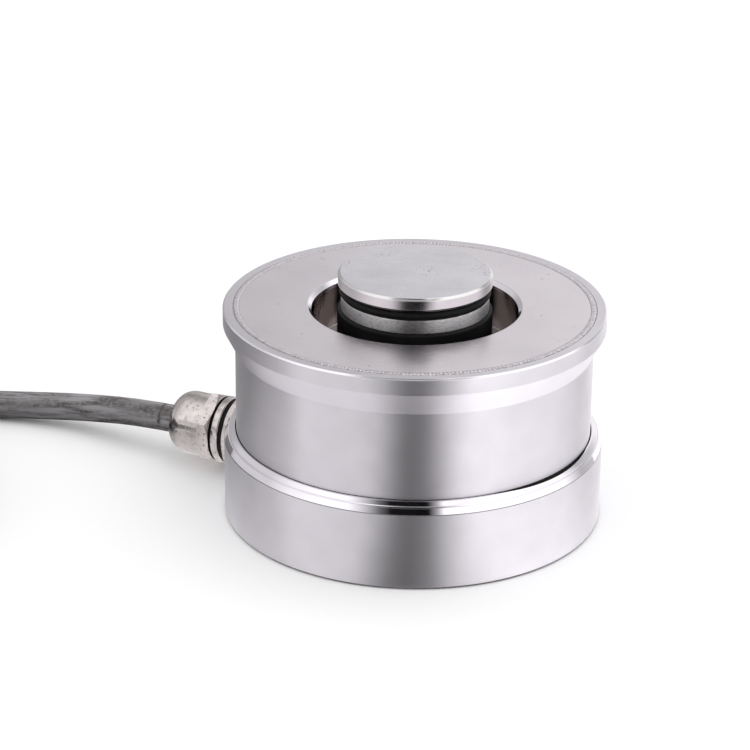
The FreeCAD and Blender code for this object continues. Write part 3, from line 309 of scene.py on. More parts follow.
def grown_points(grown):
    """Vertices that an extrusion has made."""
    return [item for item in grown["geom"] if isinstance(item, bmesh.types.BMVert)]


def linked(name, data):
    """Object in the scene that shows some data."""
    made = bpy.data.objects.new(name, data)
    bpy.context.scene.collection.objects.link(made)
    return made


def mesh_object(name, shape, materials=()):
    """Object in the scene made of a mesh, which is used up."""
    data = bpy.data.meshes.new(name)
    shape.to_mesh(data)
    shape.free()
    for material in materials:
        data.materials.append(material)
    return linked(name, data)


def combined(base, tool, operation):
    """Boolean of two meshes, which are used up."""
    rough = [mesh_object("rough", shape) for shape in (base, tool)]
    cut = rough[0].modifiers.new("Cut", "BOOLEAN")
    cut.operation = operation
    cut.solver = "EXACT"
    cut.object = rough[1]
    result = bmesh.new()
    result.from_object(rough[0], bpy.context.evaluated_depsgraph_get())
    for item in rough:
        data = item.data
        bpy.data.objects.remove(item)
        bpy.data.meshes.remove(data)
    return result


def gland_direction(gland):
    """Direction in which the gland points away from the cell."""
    return Vector((math.cos(gland.azimuth), math.sin(gland.azimuth), 0))


def gland_place(gland):
    """Matrix that lays an upright shape on the gland axis."""
    return (Matrix.Translation((0, 0, gland.axis_height)) @ Matrix.Rotation(gland.azimuth, 4, "Z")
            @ Matrix.Rotation(math.pi / 2, 4, "Y"))


def laid_on_gland(shape, gland):
    """Moves an upright shape on to the gland axis."""
    bmesh.ops.transform(shape, matrix=gland_place(gland), verts=shape.verts)
    return shape


def piece(name, shape, materials, nodes, edge_round=0.0):
    """Makes a mesh an object of the part that stands for CAD nodes."""
    made = mesh_object(name, shape, materials)
    made.data.shade_smooth()
    if edge_round > 0:
        bevel = made.modifiers.new("Worn edges", "BEVEL")
        bevel.width = edge_round
        bevel.segments = 3
        bevel.limit_method = "ANGLE"
        bevel.angle_limit = WORN_ANGLE
    made.data.set_sharp_from_angle(angle=SHARP_ANGLE)
    normals = made.modifiers.new("Flat faces", "WEIGHTED_NORMAL")
    normals.keep_sharp = True
    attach(made, "root")
    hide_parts(*nodes)
    return made


# Materials

class Wire:
    """Output of a shader node, which the signs of arithmetic work on."""

    def __init__(self, socket):
        self.socket = socket
        self.tree = socket.id_data

    def math(self, operation, *others):
        """Math node on this value and others."""
        return add(self.tree, "ShaderNodeMath", "Value", enumerate((self, *others)), operation=operation)

    def vector_math(self, operation, *others, output="Vector"):
        """Vector math node on this vector and others."""
        return add(self.tree, "ShaderNodeVectorMath", output, enumerate((self, *others)), operation=operation)

    def parts(self):
        """X, Y and Z of this vector."""
        first = add(self.tree, "ShaderNodeSeparateXYZ", "X", {0: self})
        return [Wire(socket) for socket in first.socket.node.outputs]

    def __add__(self, other):
        return self.math("ADD", other)

    def __sub__(self, other):
        return self.math("SUBTRACT", other)

    def __mul__(self, other):
        return self.math("MULTIPLY", other)

    def __truediv__(self, other):
        return self.math("DIVIDE", other)

    def __abs__(self):
        return self.math("ABSOLUTE")

    def __or__(self, other):
        return self.math("MAXIMUM", other)


def connect(node, feeds):
    """Feeds the inputs of a shader node with numbers or wires."""
    for key, value in feeds.items():
        if isinstance(value, Wire):
            node.id_data.links.new(value.socket, node.inputs[key])
        else:
            node.inputs[key].default_value = value


def add(tree, kind, output, feeds=(), **settings):
    """Adds a shader node, sets it up, feeds it and gives one of its outputs."""
    made = tree.nodes.new(kind)
    for name, value in settings.items():
        setattr(made, name, value)
    connect(made, dict(feeds))
    return Wire(made.outputs[output])


def place(tree):
    """Place on the object."""
    return add(tree, "ShaderNodeTexCoord", "Object")


def noise(where, scale, detail, roughness=0.5):
    """Even noise from 0 to 1."""
    feeds = {"Vector": where, "Scale": scale, "Detail": detail, "Roughness": roughness}
    return add(where.tree, "ShaderNodeTexNoise", "Fac", feeds)


def mapped(value, start, end, low=0, high=1):
    """Range of a value mapped to another range."""
    feeds = {"Value": value, "From Min": start, "From Max": end, "To Min": low, "To Max": high}
    return add(value.tree, "ShaderNodeMapRange", "Result", feeds)


def between(value, start, full, last, end):
    """One from full to last, falling to nought at start and end."""
    return mapped(value, start, full) * mapped(value, last, end, 1, 0)


def mixed(factor, first, second):
    """Colour between two colours, which are inputs 6 and 7 and output 2 of a Mix node."""
    first, second = (item if isinstance(item, Wire) else (*item[:3], 1) for item in (first, second))
    return add(factor.tree, "ShaderNodeMix", 2, {0: factor, 6: first, 7: second}, data_type="RGBA")


def grey(level):
    """Colour without a hue."""
    return level, level, level


def shade(tone, factor):
    """Darker or lighter tone of a colour."""
    return [min(1, part * factor) for part in tone]


def bumped(height, distance, strength=1.0, under=None):
    """Surface relief from a height, on top of another relief."""
    feeds = {"Height": height, "Distance": distance, "Strength": strength}
    if under is not None:
        feeds["Normal"] = under
    return add(height.tree, "ShaderNodeBump", "Normal", feeds)


def pitted(where, scale, core, rim, kept):
    """Round pits at scattered places, where the last value keeps them."""
    feeds = {"Vector": where, "Scale": scale, "Randomness": 1.0}
    return mapped(add(where.tree, "ShaderNodeTexVoronoi", "Distance", feeds), core, rim, 1, 0) * kept


def seen_directly(tree):
    """One for what the camera sees, also mirrored or through glass, and nought for bounced light."""
    path = tree.nodes.new("ShaderNodeLightPath").outputs
    return Wire(path["Is Camera Ray"]) | Wire(path["Is Glossy Ray"]) | Wire(path["Is Transmission Ray"])


def new_finish(name):
    """Material with an empty tree but for its shader."""
    material = bpy.data.materials.new(name)
    material.use_nodes = True
    tree = material.node_tree
    tree.nodes.clear()
    shader = tree.nodes.new("ShaderNodeBsdfPrincipled")
    output = tree.nodes.new("ShaderNodeOutputMaterial")
    tree.links.new(shader.outputs["BSDF"], output.inputs["Surface"])
    return material, tree, shader


def round_axis(tree):
    """Direction, radius and height of a place about the upright axis."""
    where = place(tree)
    level = where.vector_math("MULTIPLY", (1, 1, 0))
    radius = level.vector_math("LENGTH", output="Value")
    return level.vector_math("NORMALIZE"), radius, where.parts()[2]


def lay_lines(out, radius, height, fineness, drift):
    """Lines that a turning tool leaves round the axis, which drift slowly round it."""
    tree = out.tree
    drifted = add(tree, "ShaderNodeVectorMath", "Vector", {0: out, "Scale": drift}, operation="SCALE")
    across, back, _ = drifted.parts()
    lines = add(tree, "ShaderNodeCombineXYZ", "Vector", {0: across, 1: back, 2: height * fineness})
    feeds = {"Vector": lines, "W": radius * fineness, "Scale": 1.0, "Detail": 3.0, "Roughness": 0.6}
    return add(tree, "ShaderNodeTexNoise", "Fac", feeds, noise_dimensions="4D")


def turned_finish(name, tone, rough, brushed, fineness=5200, scuffs=0.0, scratches=0.0):
    """Metal turned on a lathe, with fine lines round the axis and glints drawn out across them."""
    material, tree, shader = new_finish(name)
    out, radius, height = round_axis(tree)
    around = add(tree, "ShaderNodeVectorMath", "Vector", {0: UPRIGHT, 1: out}, operation="CROSS_PRODUCT")
    fine = lay_lines(out, radius, height, fineness, 2.2)
    broad = lay_lines(out, radius, height, fineness / 9, 1.1)
    cloud = noise(place(tree), 190, 3)
    lines = fine * 0.65 + broad * 0.35
    toned = mixed(mapped(lines, 0.3, 0.7), shade(tone, 0.97), shade(tone, 1.02))
    toned = mixed(mapped(cloud, 0.35, 0.7, 0, 0.35), toned, shade(tone, 0.93))
    if scratches:
        dashes = lay_lines(out, radius, height, fineness * 0.8, 18)
        toned = mixed(mapped(dashes, 0.48, 0.68, 0, scratches), toned, shade(tone, 0.45))
    uneven = mapped(lines, 0.3, 0.7, rough * 0.95, rough * 1.05) + mapped(cloud, 0.3, 0.7, 0, 0.03 + scuffs)
    relief = bumped(lines, 0.001 * MM)
    connect(shader, {"Base Color": toned, "Metallic": 1.0, "Roughness": uneven, "Normal": relief,
                     "Tangent": around, "Anisotropic": brushed, "Anisotropic Rotation": 0.25})
    return material


def cover_finish(name, tone, bead_start, bead_end):
    """Satin plate with tiny pits, and a rippled bead of weld round its edge."""
    material, tree, shader = new_finish(name)
    where = place(tree)
    out, radius, _ = round_axis(tree)
    across, back, _ = out.parts()
    turn = back.math("ARCTAN2", across)
    inner, outer = (mapped(abs(radius - line), 0.06 * MM, 0.14 * MM, 1, 0)
                    for line in (bead_start, bead_end - 0.08 * MM))
    wander = noise(where, 900, 2)
    on_bead = mapped(radius, bead_start, bead_start + 0.25 * MM)
    ripple = (turn * 310 + wander * 9).math("SINE") * on_bead
    grain = noise(where, 9000, 2)
    cloud = noise(where, 85, 4)
    pit = pitted(where, 420, 0.06, 0.16, mapped(noise(where, 260, 1), 0.56, 0.62))
    toned = mixed(mapped(cloud, 0.3, 0.75), shade(tone, 1.03), shade(tone, 0.95))
    toned = mixed(pit * 0.6, toned, shade(tone, 0.3))
    # Each ripple is painted darker on one half and lighter on the other: painted shade and highlight of the
    # ripples, on top of their relief.
    toned = mixed(mapped(ripple, 0.2, 1, 0, 0.5), toned, shade(tone, 0.55))
    toned = mixed(mapped(ripple, -0.2, -1, 0, 0.7), toned, shade(tone, 1.3))
    toned = mixed(mapped((inner | outer) * wander, 0.2, 0.6, 0, 0.8), toned, shade(tone, 0.4))
    rough = mapped(grain, 0.3, 0.7, 0.22, 0.29) + mapped(cloud, 0.3, 0.7, -0.02, 0.03)
    relief = bumped(grain, 0.003 * MM)
    relief = bumped(pit, -0.03 * MM, under=relief)
    relief = bumped(ripple, 0.06 * MM, under=relief)
    connect(shader, {"Base Color": toned, "Metallic": 1.0, "Roughness": rough, "Normal": relief})
    return material


def scuffed_finish(name, tone):
    """Ground face of the load button, with short scuffs that cross each other."""
    material, tree, shader = new_finish(name)
    where = place(tree)
    lines = []
    for turn in (0.5, 1.9, 2.7):
        feeds = {"Vector": where, "Rotation": (0, 0, turn), "Scale": (60, 1700, 1)}
        lines.append(mapped(noise(add(tree, "ShaderNodeMapping", "Vector", feeds), 1, 2), 0.6, 0.74))
    scuffs = lines[0] | lines[1] | lines[2]
    cloud = noise(where, 130, 4)
    worn = mapped(noise(where, 150, 2), 0.58, 0.68)
    speck = worn * mapped(noise(where, 1500, 3), 0.56, 0.64)
    toned = mixed(mapped(cloud, 0.3, 0.7), shade(tone, 1.03), shade(tone, 0.93))
    toned = mixed(scuffs * 0.25, toned, shade(tone, 0.75))
    toned = mixed(speck * 0.65, toned, shade(tone, 0.35))
    rough = mapped(cloud, 0.3, 0.7, 0.24, 0.33) + scuffs * 0.06
    relief = bumped(noise(where, 7000, 2), 0.002 * MM)
    relief = bumped(scuffs, -0.006 * MM, under=relief)
    connect(shader, {"Base Color": toned, "Metallic": 1.0, "Roughness": rough, "Normal": relief})
    return material


def rubber_finish(name, tone):
    """Dull black rubber with mould bloom."""
    material, tree, shader = new_finish(name)
    where = place(tree)
    bloom = noise(where, 160, 4)
    toned = mixed(mapped(bloom, 0.45, 0.75), tone, shade(tone, 2.2))
    relief = bumped(noise(where, 3500, 3), 0.006 * MM)
    connect(shader, {"Base Color": toned, "Roughness": mapped(bloom, 0.3, 0.7, 0.42, 0.6),
                     "Specular IOR Level": 0.12, "Normal": relief})
    return material


def nickel_finish(name, tone):
    """Nickel-plated brass with casting pits, dull stains and rubbed places."""
    material, tree, shader = new_finish(name)
    where = place(tree)
    cloud = noise(where, 240, 4)
    stain = noise(where, 620, 5, 0.65)
    pit = pitted(where, 1000, 0.1, 0.32, mapped(noise(where, 420, 2), 0.5, 0.58))
    toned = mixed(mapped(cloud, 0.35, 0.7), shade(tone, 1.15), shade(tone, 0.85))
    toned = mixed(mapped(stain, 0.52, 0.72, 0, 0.7), toned, shade(tone, 0.5))
    toned = mixed(pit * 0.75, toned, shade(tone, 0.18))
    rough = mapped(cloud, 0.3, 0.7, 0.1, 0.2) + mapped(stain, 0.5, 0.7, 0, 0.16)
    relief = bumped(cloud, 0.06 * MM, strength=0.6)
    relief = bumped(noise(where, 5200, 2), 0.003 * MM, under=relief)
    relief = bumped(pit, -0.05 * MM, under=relief)
    connect(shader, {"Base Color": toned, "Metallic": 1.0, "Roughness": rough, "Normal": relief})
    return material


def along_cable(tree, total, radius):
    """Place along and round the cable, from its own UV map."""
    along, around, _ = add(tree, "ShaderNodeUVMap", "UV", uv_map="UVMap").parts()
    turn = around * math.tau
    feeds = {0: along * total, 1: turn.math("COSINE") * radius, 2: turn.math("SINE") * radius}
    return add(tree, "ShaderNodeCombineXYZ", "Vector", feeds)


def sheath_finish(name, tone, dirt, cable, gland):
    """Grey plastic sheath with rubbed brownish smudges drawn out along it, and a dark mark near the nut."""
    material, tree, shader = new_finish(name)
    where = place(tree)
    spread = along_cable(tree, cable.total, cable.diameter / 2)
    streak = noise(spread.vector_math("MULTIPLY", (0.12, 1, 1)), 480, 5, 0.66)
    blotch = noise(spread.vector_math("MULTIPLY", (0.4, 1, 1)), 150, 3)
    speck = noise(where, 900, 4, 0.6)
    from_cell = where.vector_math("LENGTH", output="Value")
    handled = mapped(from_cell, 110 * MM, 150 * MM, 0.075, 0)
    dirty = mapped(streak + handled, 0.48, 0.61) * mapped(blotch + handled, 0.4, 0.56, 0.12, 1)
    dirty = dirty * mapped(speck, 0.36, 0.56, 0.5, 1)
    along_gland = where.vector_math("DOT_PRODUCT", gland_direction(gland), output="Value")
    off_mark = abs(along_gland - (gland.nut_face + cable.mark_place))
    marked = mapped(off_mark, 0.25 * MM, 0.9 * MM, 1, 0) * mapped(speck, 0.36, 0.48, 0.35, 1)
    toned = mixed(mapped(streak, 0.3, 0.6, 1, 0), shade(tone, 0.95), shade(tone, 1.16))
    toned = mixed((dirty | marked) * 0.92, toned, dirt)
    relief = bumped(noise(where, 3800, 3), 0.01 * MM)
    relief = bumped(streak, 0.1 * MM, strength=0.5, under=relief)
    rough = mapped(streak, 0.3, 0.7, 0.44, 0.62)
    connect(shader, {"Base Color": toned, "Roughness": rough, "Normal": relief})
    return material


def small_finish(name, tone, metal, rough, grain_scale, grain_depth):
    """Finish of a small piece: uneven tone, gloss and grain."""
    material, tree, shader = new_finish(name)
    where = place(tree)
    grain = noise(where, grain_scale, 3)
    cloud = noise(where, grain_scale / 8, 3)
    toned = mixed(mapped(cloud, 0.3, 0.7), shade(tone, 0.86), shade(tone, 1.1))
    uneven = mapped(grain, 0.3, 0.7, rough - 0.06, rough + 0.08)
    connect(shader, {"Base Color": toned, "Metallic": metal, "Roughness": uneven,
                     "Normal": bumped(grain, grain_depth)})
    return material


# Small pieces that keep their CAD shape: slot, nodes, colour, metal, roughness, grain scale and grain depth.
INSULATION = (0.0, 0.4, 2600, 0.006 * MM)
SMALL_PIECES = (
    ("gauge_foil", ("strain_gauge_upper_inner", "strain_gauge_upper_outer", "strain_gauge_lower_inner",
                    "strain_gauge_lower_outer"), (0.55, 0.28, 0.09), 0.4, 0.4, 2600, 0.004 * MM),
    ("board_laminate", ("bridge_board",), (0.02, 0.11, 0.045), 0.0, 0.42, 1900, 0.01 * MM),
    ("brass_hardware", ("board_standoffs",), (0.62, 0.43, 0.16), 1.0, 0.3, 2400, 0.004 * MM),
    ("screw_steel", ("board_screws",), (0.58, 0.58, 0.57), 1.0, 0.3, 2400, 0.004 * MM),
    ("resistor_body", ("trim_resistors",), (0.30, 0.42, 0.50), 0.0, 0.4, 1800, 0.01 * MM),
    ("solder_tin", ("solder_terminals",), (0.68, 0.68, 0.70), 1.0, 0.28, 1500, 0.02 * MM),
    ("wire_enamel", ("gauge_wires",), (0.45, 0.16, 0.05), 0.3, 0.35, 2600, 0.004 * MM),
    ("core_insulation", ("cable_cores",), (0.42, 0.42, 0.40), 0.0, 0.45, 2600, 0.006 * MM),
    ("clamp_plastic", ("gland_clamp_insert",), (0.05, 0.05, 0.055), 0.0, 0.5, 2000, 0.01 * MM),
    ("lead_red", ("lead_red",), (0.52, 0.02, 0.015), *INSULATION),
    ("lead_black", ("lead_black",), (0.012, 0.012, 0.012), *INSULATION),
    ("lead_green", ("lead_green",), (0.015, 0.22, 0.05), *INSULATION),
    ("lead_white", ("lead_white",), (0.74, 0.74, 0.72), *INSULATION),
    ("lead_blue", ("lead_blue",), (0.02, 0.07, 0.42), *INSULATION),
    ("lead_yellow", ("lead_yellow",), (0.72, 0.50, 0.03), *INSULATION),
    ("lead_screen", ("lead_screen",), (0.62, 0.60, 0.57), 1.0, 0.36, 2200, 0.02 * MM),
    ("tinned_copper", ("lead_tips",), (0.72, 0.69, 0.66), 1.0, 0.32, 2200, 0.02 * MM),
)


# Cable

# Route in millimetres, from inside the gland down to the floor and along it to the coil.
CABLE_ROUTE = (
    (-45.24, 21.29, 9.25),
    (-63.07, 29.68, 9.25),
    (-80, 41.3, 5.6),
    (-98.5, 47.3, 3.45),
    (-120, 47.9, 3.5),
    (-131, 48, 4.8),
    (-140, 48, 4.8),
)

# Points along the last part turn, and bearings of the straps in degrees.
TAIL_PARTS = 10
STRAP_BEARINGS = (150, 262)


def coil_turns(cable):
    """Radius and height of each turn, layer by layer, from the lead-in to the tail."""
    wide = [cable.outer_turn - index * cable.coil_pitch for index in range(cable.turns_wide)]
    top_layer = wide[::-1][:cable.top_turns]
    turns = []
    for layer, radii in enumerate((wide, wide[::-1], wide, top_layer)):
        turns += [(radius, cable.coil_floor + layer * cable.coil_pitch) for radius in radii]
    return turns


def coil_points(cable):
    """Cage of the coil: each turn climbs in its third quarter and steps sideways in its last."""
    count = cable.points_a_turn
    turns = coil_turns(cable)
    last = (cable.tail_turn, turns[-1][1])
    points = []

    def put(bearing, radius, height, half_step):
        """Adds a point of the cage, which stands outside the turn that the spline follows."""
        stand_off = radius / math.cos(half_step)
        points.append(Vector((cable.coil_across - math.sin(bearing) * stand_off,
                              cable.coil_back + math.cos(bearing) * stand_off, height)))

    for (radius, height), (next_radius, next_height) in zip(turns, turns[1:] + [last]):
        for index in range(count):
            share = (index + 0.5) / count
            step = min(1, max(0, (share - 0.75) / 0.25))
            climb = min(1, max(0, (share - 0.5) / 0.25))
            step = step * step * (3 - 2 * step)
            put(share * math.tau, radius + (next_radius - radius) * step,
                height + (next_height - height) * climb, math.pi / count)
    for index in range(TAIL_PARTS):
        put((index + 0.5) / TAIL_PARTS * cable.tail_sweep, *last, cable.tail_sweep / TAIL_PARTS / 2)
    put(cable.tail_sweep, *last, 0)
    return points


def tail_end(cable):
    """Matrix that lays an upright shape on the end of the cable."""
    height = coil_turns(cable)[-1][1]
    return (Matrix.Translation((cable.coil_across, cable.coil_back, height))
            @ Matrix.Rotation(cable.tail_sweep, 4, "Z") @ Matrix.Translation((0, cable.tail_turn, 0))
            @ Matrix.Rotation(-math.pi / 2, 4, "Y"))


# Light tent

# Panels of its dome, of its floor and of the floor near the cell: bearing in degrees, from the front to the
# right, and level.
TENT_PANELS = (
    (-180, 0.80), (-160, 0.45), (-140, 0.50), (-125, 0.70), (-85, 0.75), (-65, 1.10), (-45, 1.30),
    (-30, 1.25), (-22, 0.70), (-15, 0.16), (-10, 0.01), (7, 0.005), (11, 0.45), (14, 1.30),
    (30, 1.45), (90, 1.30), (110, 0.55), (130, 0.65), (150, 1.10), (180, 0.80),
)
FLOOR_PANELS = (
    (-180, 0.60), (-140, 0.30), (-118, 0.00), (-104, 0.08), (-88, 0.60), (-64, 1.00), (-36, 0.90),
    (-20, 1.20), (-15, 1.00), (-8, 0.40), (-2, 0.18), (6, 0.28), (14, 0.75), (30, 1.75),
    (64, 1.30), (80, 1.10), (100, 1.25), (120, 1.15), (140, 1.30), (180, 0.60),
)
NEAR_PANELS = (
    (-180, 0.80), (-64, 1.00), (-22, 0.95), (-14, 0.55), (-8, 0.24), (-2, 0.14), (6, 0.34),
    (14, 0.95), (30, 1.75), (64, 1.55), (120, 1.25), (180, 0.80),
)

# Levels are held as shares of this one, because a ramp's colours end at 1.
TOP_LEVEL = 2.0

# Distances from the cell over which the near floor gives way to the rest.
NEAR_FLOOR = (60 * MM, 85 * MM)

# Share of a place's height that counts as lying in front, so that the panels lean over the cell.
LEAN = 0.6

# Dark card and grey veils at the front of the dome: heights, as shares of the dome's radius, and bearings to
# either side of the middle, in radians, between which each fades.
FRONT_MIDDLE = 0.05
CARD_RISE, CARD_ASIDE = (0.45, 0.51), (0.14, 0.4)
LOW_VEIL_RISE, LOW_VEIL_ASIDE = (0.14, 0.22, 0.35, 0.41), (0.85, 1.15)
HIGH_VEIL_RISE, HIGH_VEIL_ASIDE = (0.68, 0.74, 0.92, 0.97), (0.3, 0.5)
VEIL_LEVEL, VEIL_COVER = 0.62, 0.9

# Steps up the dome, the room between the tent and the cell or the floor, and half the width of the floor.
DOME_STEPS = 12
TENT_GAP = 0.3 * MM
FLOOR_REACH = 3.0

# Lamps: name, setting of the power, place and width in metres. They point at the middle of the cell.
LAMPS = (
    ("key_light", "key_power", (0.3, -0.1, 1.1), 0.8),
    ("fill_light", "fill_power", (-0.7, -0.5, 0.7), 0.6),
)
CELL_MIDDLE = Vector((0, 0, 30 * MM))


def level_ramp(share, panels):
    """Level of each panel, as a share of the top level, blended from panel to panel."""
    ramp = add(share.tree, "ShaderNodeValToRGB", "Color", {"Fac": share})
    elements = ramp.socket.node.color_ramp.elements
    elements[1].position = 1.0
    for bearing, _ in panels[1:-1]:
        elements.new(bearing / 360 + 0.5)
    for element, (_, level) in zip(elements, panels):
        element.color = (*grey(level / TOP_LEVEL), 1)
    return ramp


# Operators

class LOADCELL_OT_stage(bpy.types.Operator):
    """Sets the camera, the white floor, the light tent and the lamps."""
    bl_idname = "loadcell.stage"
    bl_label = "Studio"

    def execute(self, context):
        settings = context.scene.load_cell
        studio = settings.studio
        self.camera(context.scene, studio)
        floor_shape = bmesh.new()
        bmesh.ops.create_grid(floor_shape, x_segments=1, y_segments=1, size=FLOOR_REACH)
        floor = mesh_object("floor", floor_shape, [self.floor_finish()])
        tent_shape = self.tent_shape(studio.tent_radius, settings.body.base_radius + TENT_GAP)
        tent = mesh_object("light_tent", tent_shape, [self.tent_finish()])
        tent.visible_camera = False
        tent.visible_diffuse = False
        tent.visible_shadow = False
        tent.visible_transmission = False
        for name, power, spot, width in LAMPS:
            self.lamp(name, getattr(studio, power), spot, width)
        self.world(context.scene, studio)
        context.scene.view_settings.view_transform = "Standard"
        return {"FINISHED"}

    def camera(self, scene, studio):
        """Camera at the photograph's place."""
        sine, cosine = math.sin(studio.elevation), math.cos(studio.elevation)
        back = Vector((0, -cosine, sine))
        across = Vector((1, 0, 0))
        up = Vector((0, sine, cosine))
        right = across * math.cos(studio.roll) + up * math.sin(studio.roll)
        raised = up * math.cos(studio.roll) - across * math.sin(studio.roll)
        data = bpy.data.cameras.new("camera")
        data.lens = studio.lens
        data.sensor_width = 36
        data.clip_start = 10 * MM
        camera = linked("camera", data)
        camera.rotation_euler = Matrix((right, raised, back)).transposed().to_euler()
        camera.location = Vector(studio.target) + back * studio.distance
        scene.camera = camera

    def floor_finish(self):
        """White paper, darker for the light that only bounces off it."""
        material, tree, shader = new_finish("white_paper")
        toned = mixed(noise(place(tree), 900, 2), grey(0.94), grey(0.96))
        toned = mixed(seen_directly(tree), grey(0.55), toned)
        connect(shader, {"Base Color": toned, "Roughness": 0.9, "Specular IOR Level": 0.1})
        return material

    def tent_shape(self, radius, opening):
        """Dome with a floor ring, open where the cell stands."""
        bearings = [step * math.pi / 2 / DOME_STEPS for step in range(1, DOME_STEPS)]
        arc = [(radius * math.cos(bearing), radius * math.sin(bearing), 0) for bearing in bearings]
        return turned([(opening, TENT_GAP, 0), (radius, TENT_GAP, 0), *arc, (0, radius, 0)], TENT_STEPS,
                      closed=False)

    def tent_finish(self):
        """Bright and dark panels by bearing, with a dark card and, for the first mirror image, grey veils."""
        material, tree, shader = new_finish("tent_cloth")
        where = place(tree)
        across, back, height = where.parts()
        turn = across.math("ARCTAN2", height * LEAN - back)
        share = turn / math.tau + 0.5
        distance = where.vector_math("LENGTH", output="Value")
        far = mapped(distance, *NEAR_FLOOR)
        floor = mixed(far, level_ramp(share, NEAR_PANELS), level_ramp(share, FLOOR_PANELS))
        rise = height / distance
        aside = abs(turn - FRONT_MIDDLE)
        card = mapped(rise, *CARD_RISE, 1, 0) * mapped(aside, *CARD_ASIDE, 1, 0)
        cloth = mixed(card, level_ramp(share, TENT_PANELS), grey(0))
        low = between(rise, *LOW_VEIL_RISE) * mapped(aside, *LOW_VEIL_ASIDE, 1, 0)
        high = between(rise, *HIGH_VEIL_RISE) * mapped(aside, *HIGH_VEIL_ASIDE, 1, 0)
        once = add(tree, "ShaderNodeLightPath", "Glossy Depth").math("LESS_THAN", 1.5)
        cloth = mixed((low | high) * (once * VEIL_COVER), cloth, grey(VEIL_LEVEL / TOP_LEVEL))
        level = mixed(height.math("GREATER_THAN", 2 * MM), floor, cloth)
        glow = add(tree, "ShaderNodeEmission", "Emission", {"Color": level, "Strength": TOP_LEVEL})
        output = shader.outputs["BSDF"].links[0].to_node
        connect(output, {"Surface": glow})
        tree.nodes.remove(shader)
        return material

    def lamp(self, name, power, spot, width):
        """Soft box that points at the cell, unseen in the metal."""
        data = bpy.data.lights.new(name, "AREA")
        data.energy = power
        data.shape = "SQUARE"
        data.size = width
        lamp = linked(name, data)
        lamp.location = spot
        lamp.visible_glossy = False
        lamp.rotation_euler = (Vector(spot) - CELL_MIDDLE).to_track_quat("Z", "Y").to_euler()

    def world(self, scene, studio):
        """White background, and even soft light on what isn't polished."""
        world = bpy.data.worlds.new("studio")
        world.use_nodes = True
        tree = world.node_tree
        tree.nodes.clear()
        level = mapped(seen_directly(tree), 0, 1, studio.daylight, 1.0)
        sky = add(tree, "ShaderNodeBackground", "Background", {"Color": (1, 1, 1, 1), "Strength": level})
        connect(tree.nodes.new("ShaderNodeOutputWorld"), {"Surface": sky})
        scene.world = world


class LOADCELL_OT_cable(bpy.types.Operator):
    """Lays the cable from the gland to its coil."""
    bl_idname = "loadcell.cable"
    bl_label = "Cable"

    def execute(self, context):
        settings = context.scene.load_cell
        cable, gland, colours = settings.cable, settings.gland, settings.colours
        route = [Vector(point) * MM for point in CABLE_ROUTE] + coil_points(cable)
        data = bpy.data.curves.new("sheathed_cable", "CURVE")
        data.dimensions = "3D"
        data.resolution_u = 4
        data.bevel_depth = cable.diameter / 2
        data.bevel_resolution = 5
        data.use_fill_caps = True
        spline = data.splines.new("NURBS")
        spline.points.add(len(route) - 1)
        for point, spot in zip(spline.points, route):
            point.co = (*spot, 1)
        spline.order_u = 3
        spline.use_endpoint_u = True
        data.materials.append(sheath_finish("cable_sheath", colours.sheath, colours.smudge, cable, gland))
        made = linked("sheathed_cable", data)
        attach(made, "root")
        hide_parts("cable", "cable_coil", "cable_tail")
        gland_place(gland) @ Vector((0, 0, gland.nut_face))
        return {"FINISHED"}


# Finishes of the measuring body, by their place in its list.
WALLS, BEVELS, INSIDE_PAINTED_SHADE, CONE, FLANGE, EDGE_LINE_PAINTED_SHADE, GROOVE_PAINTED_SHADE = range(7)


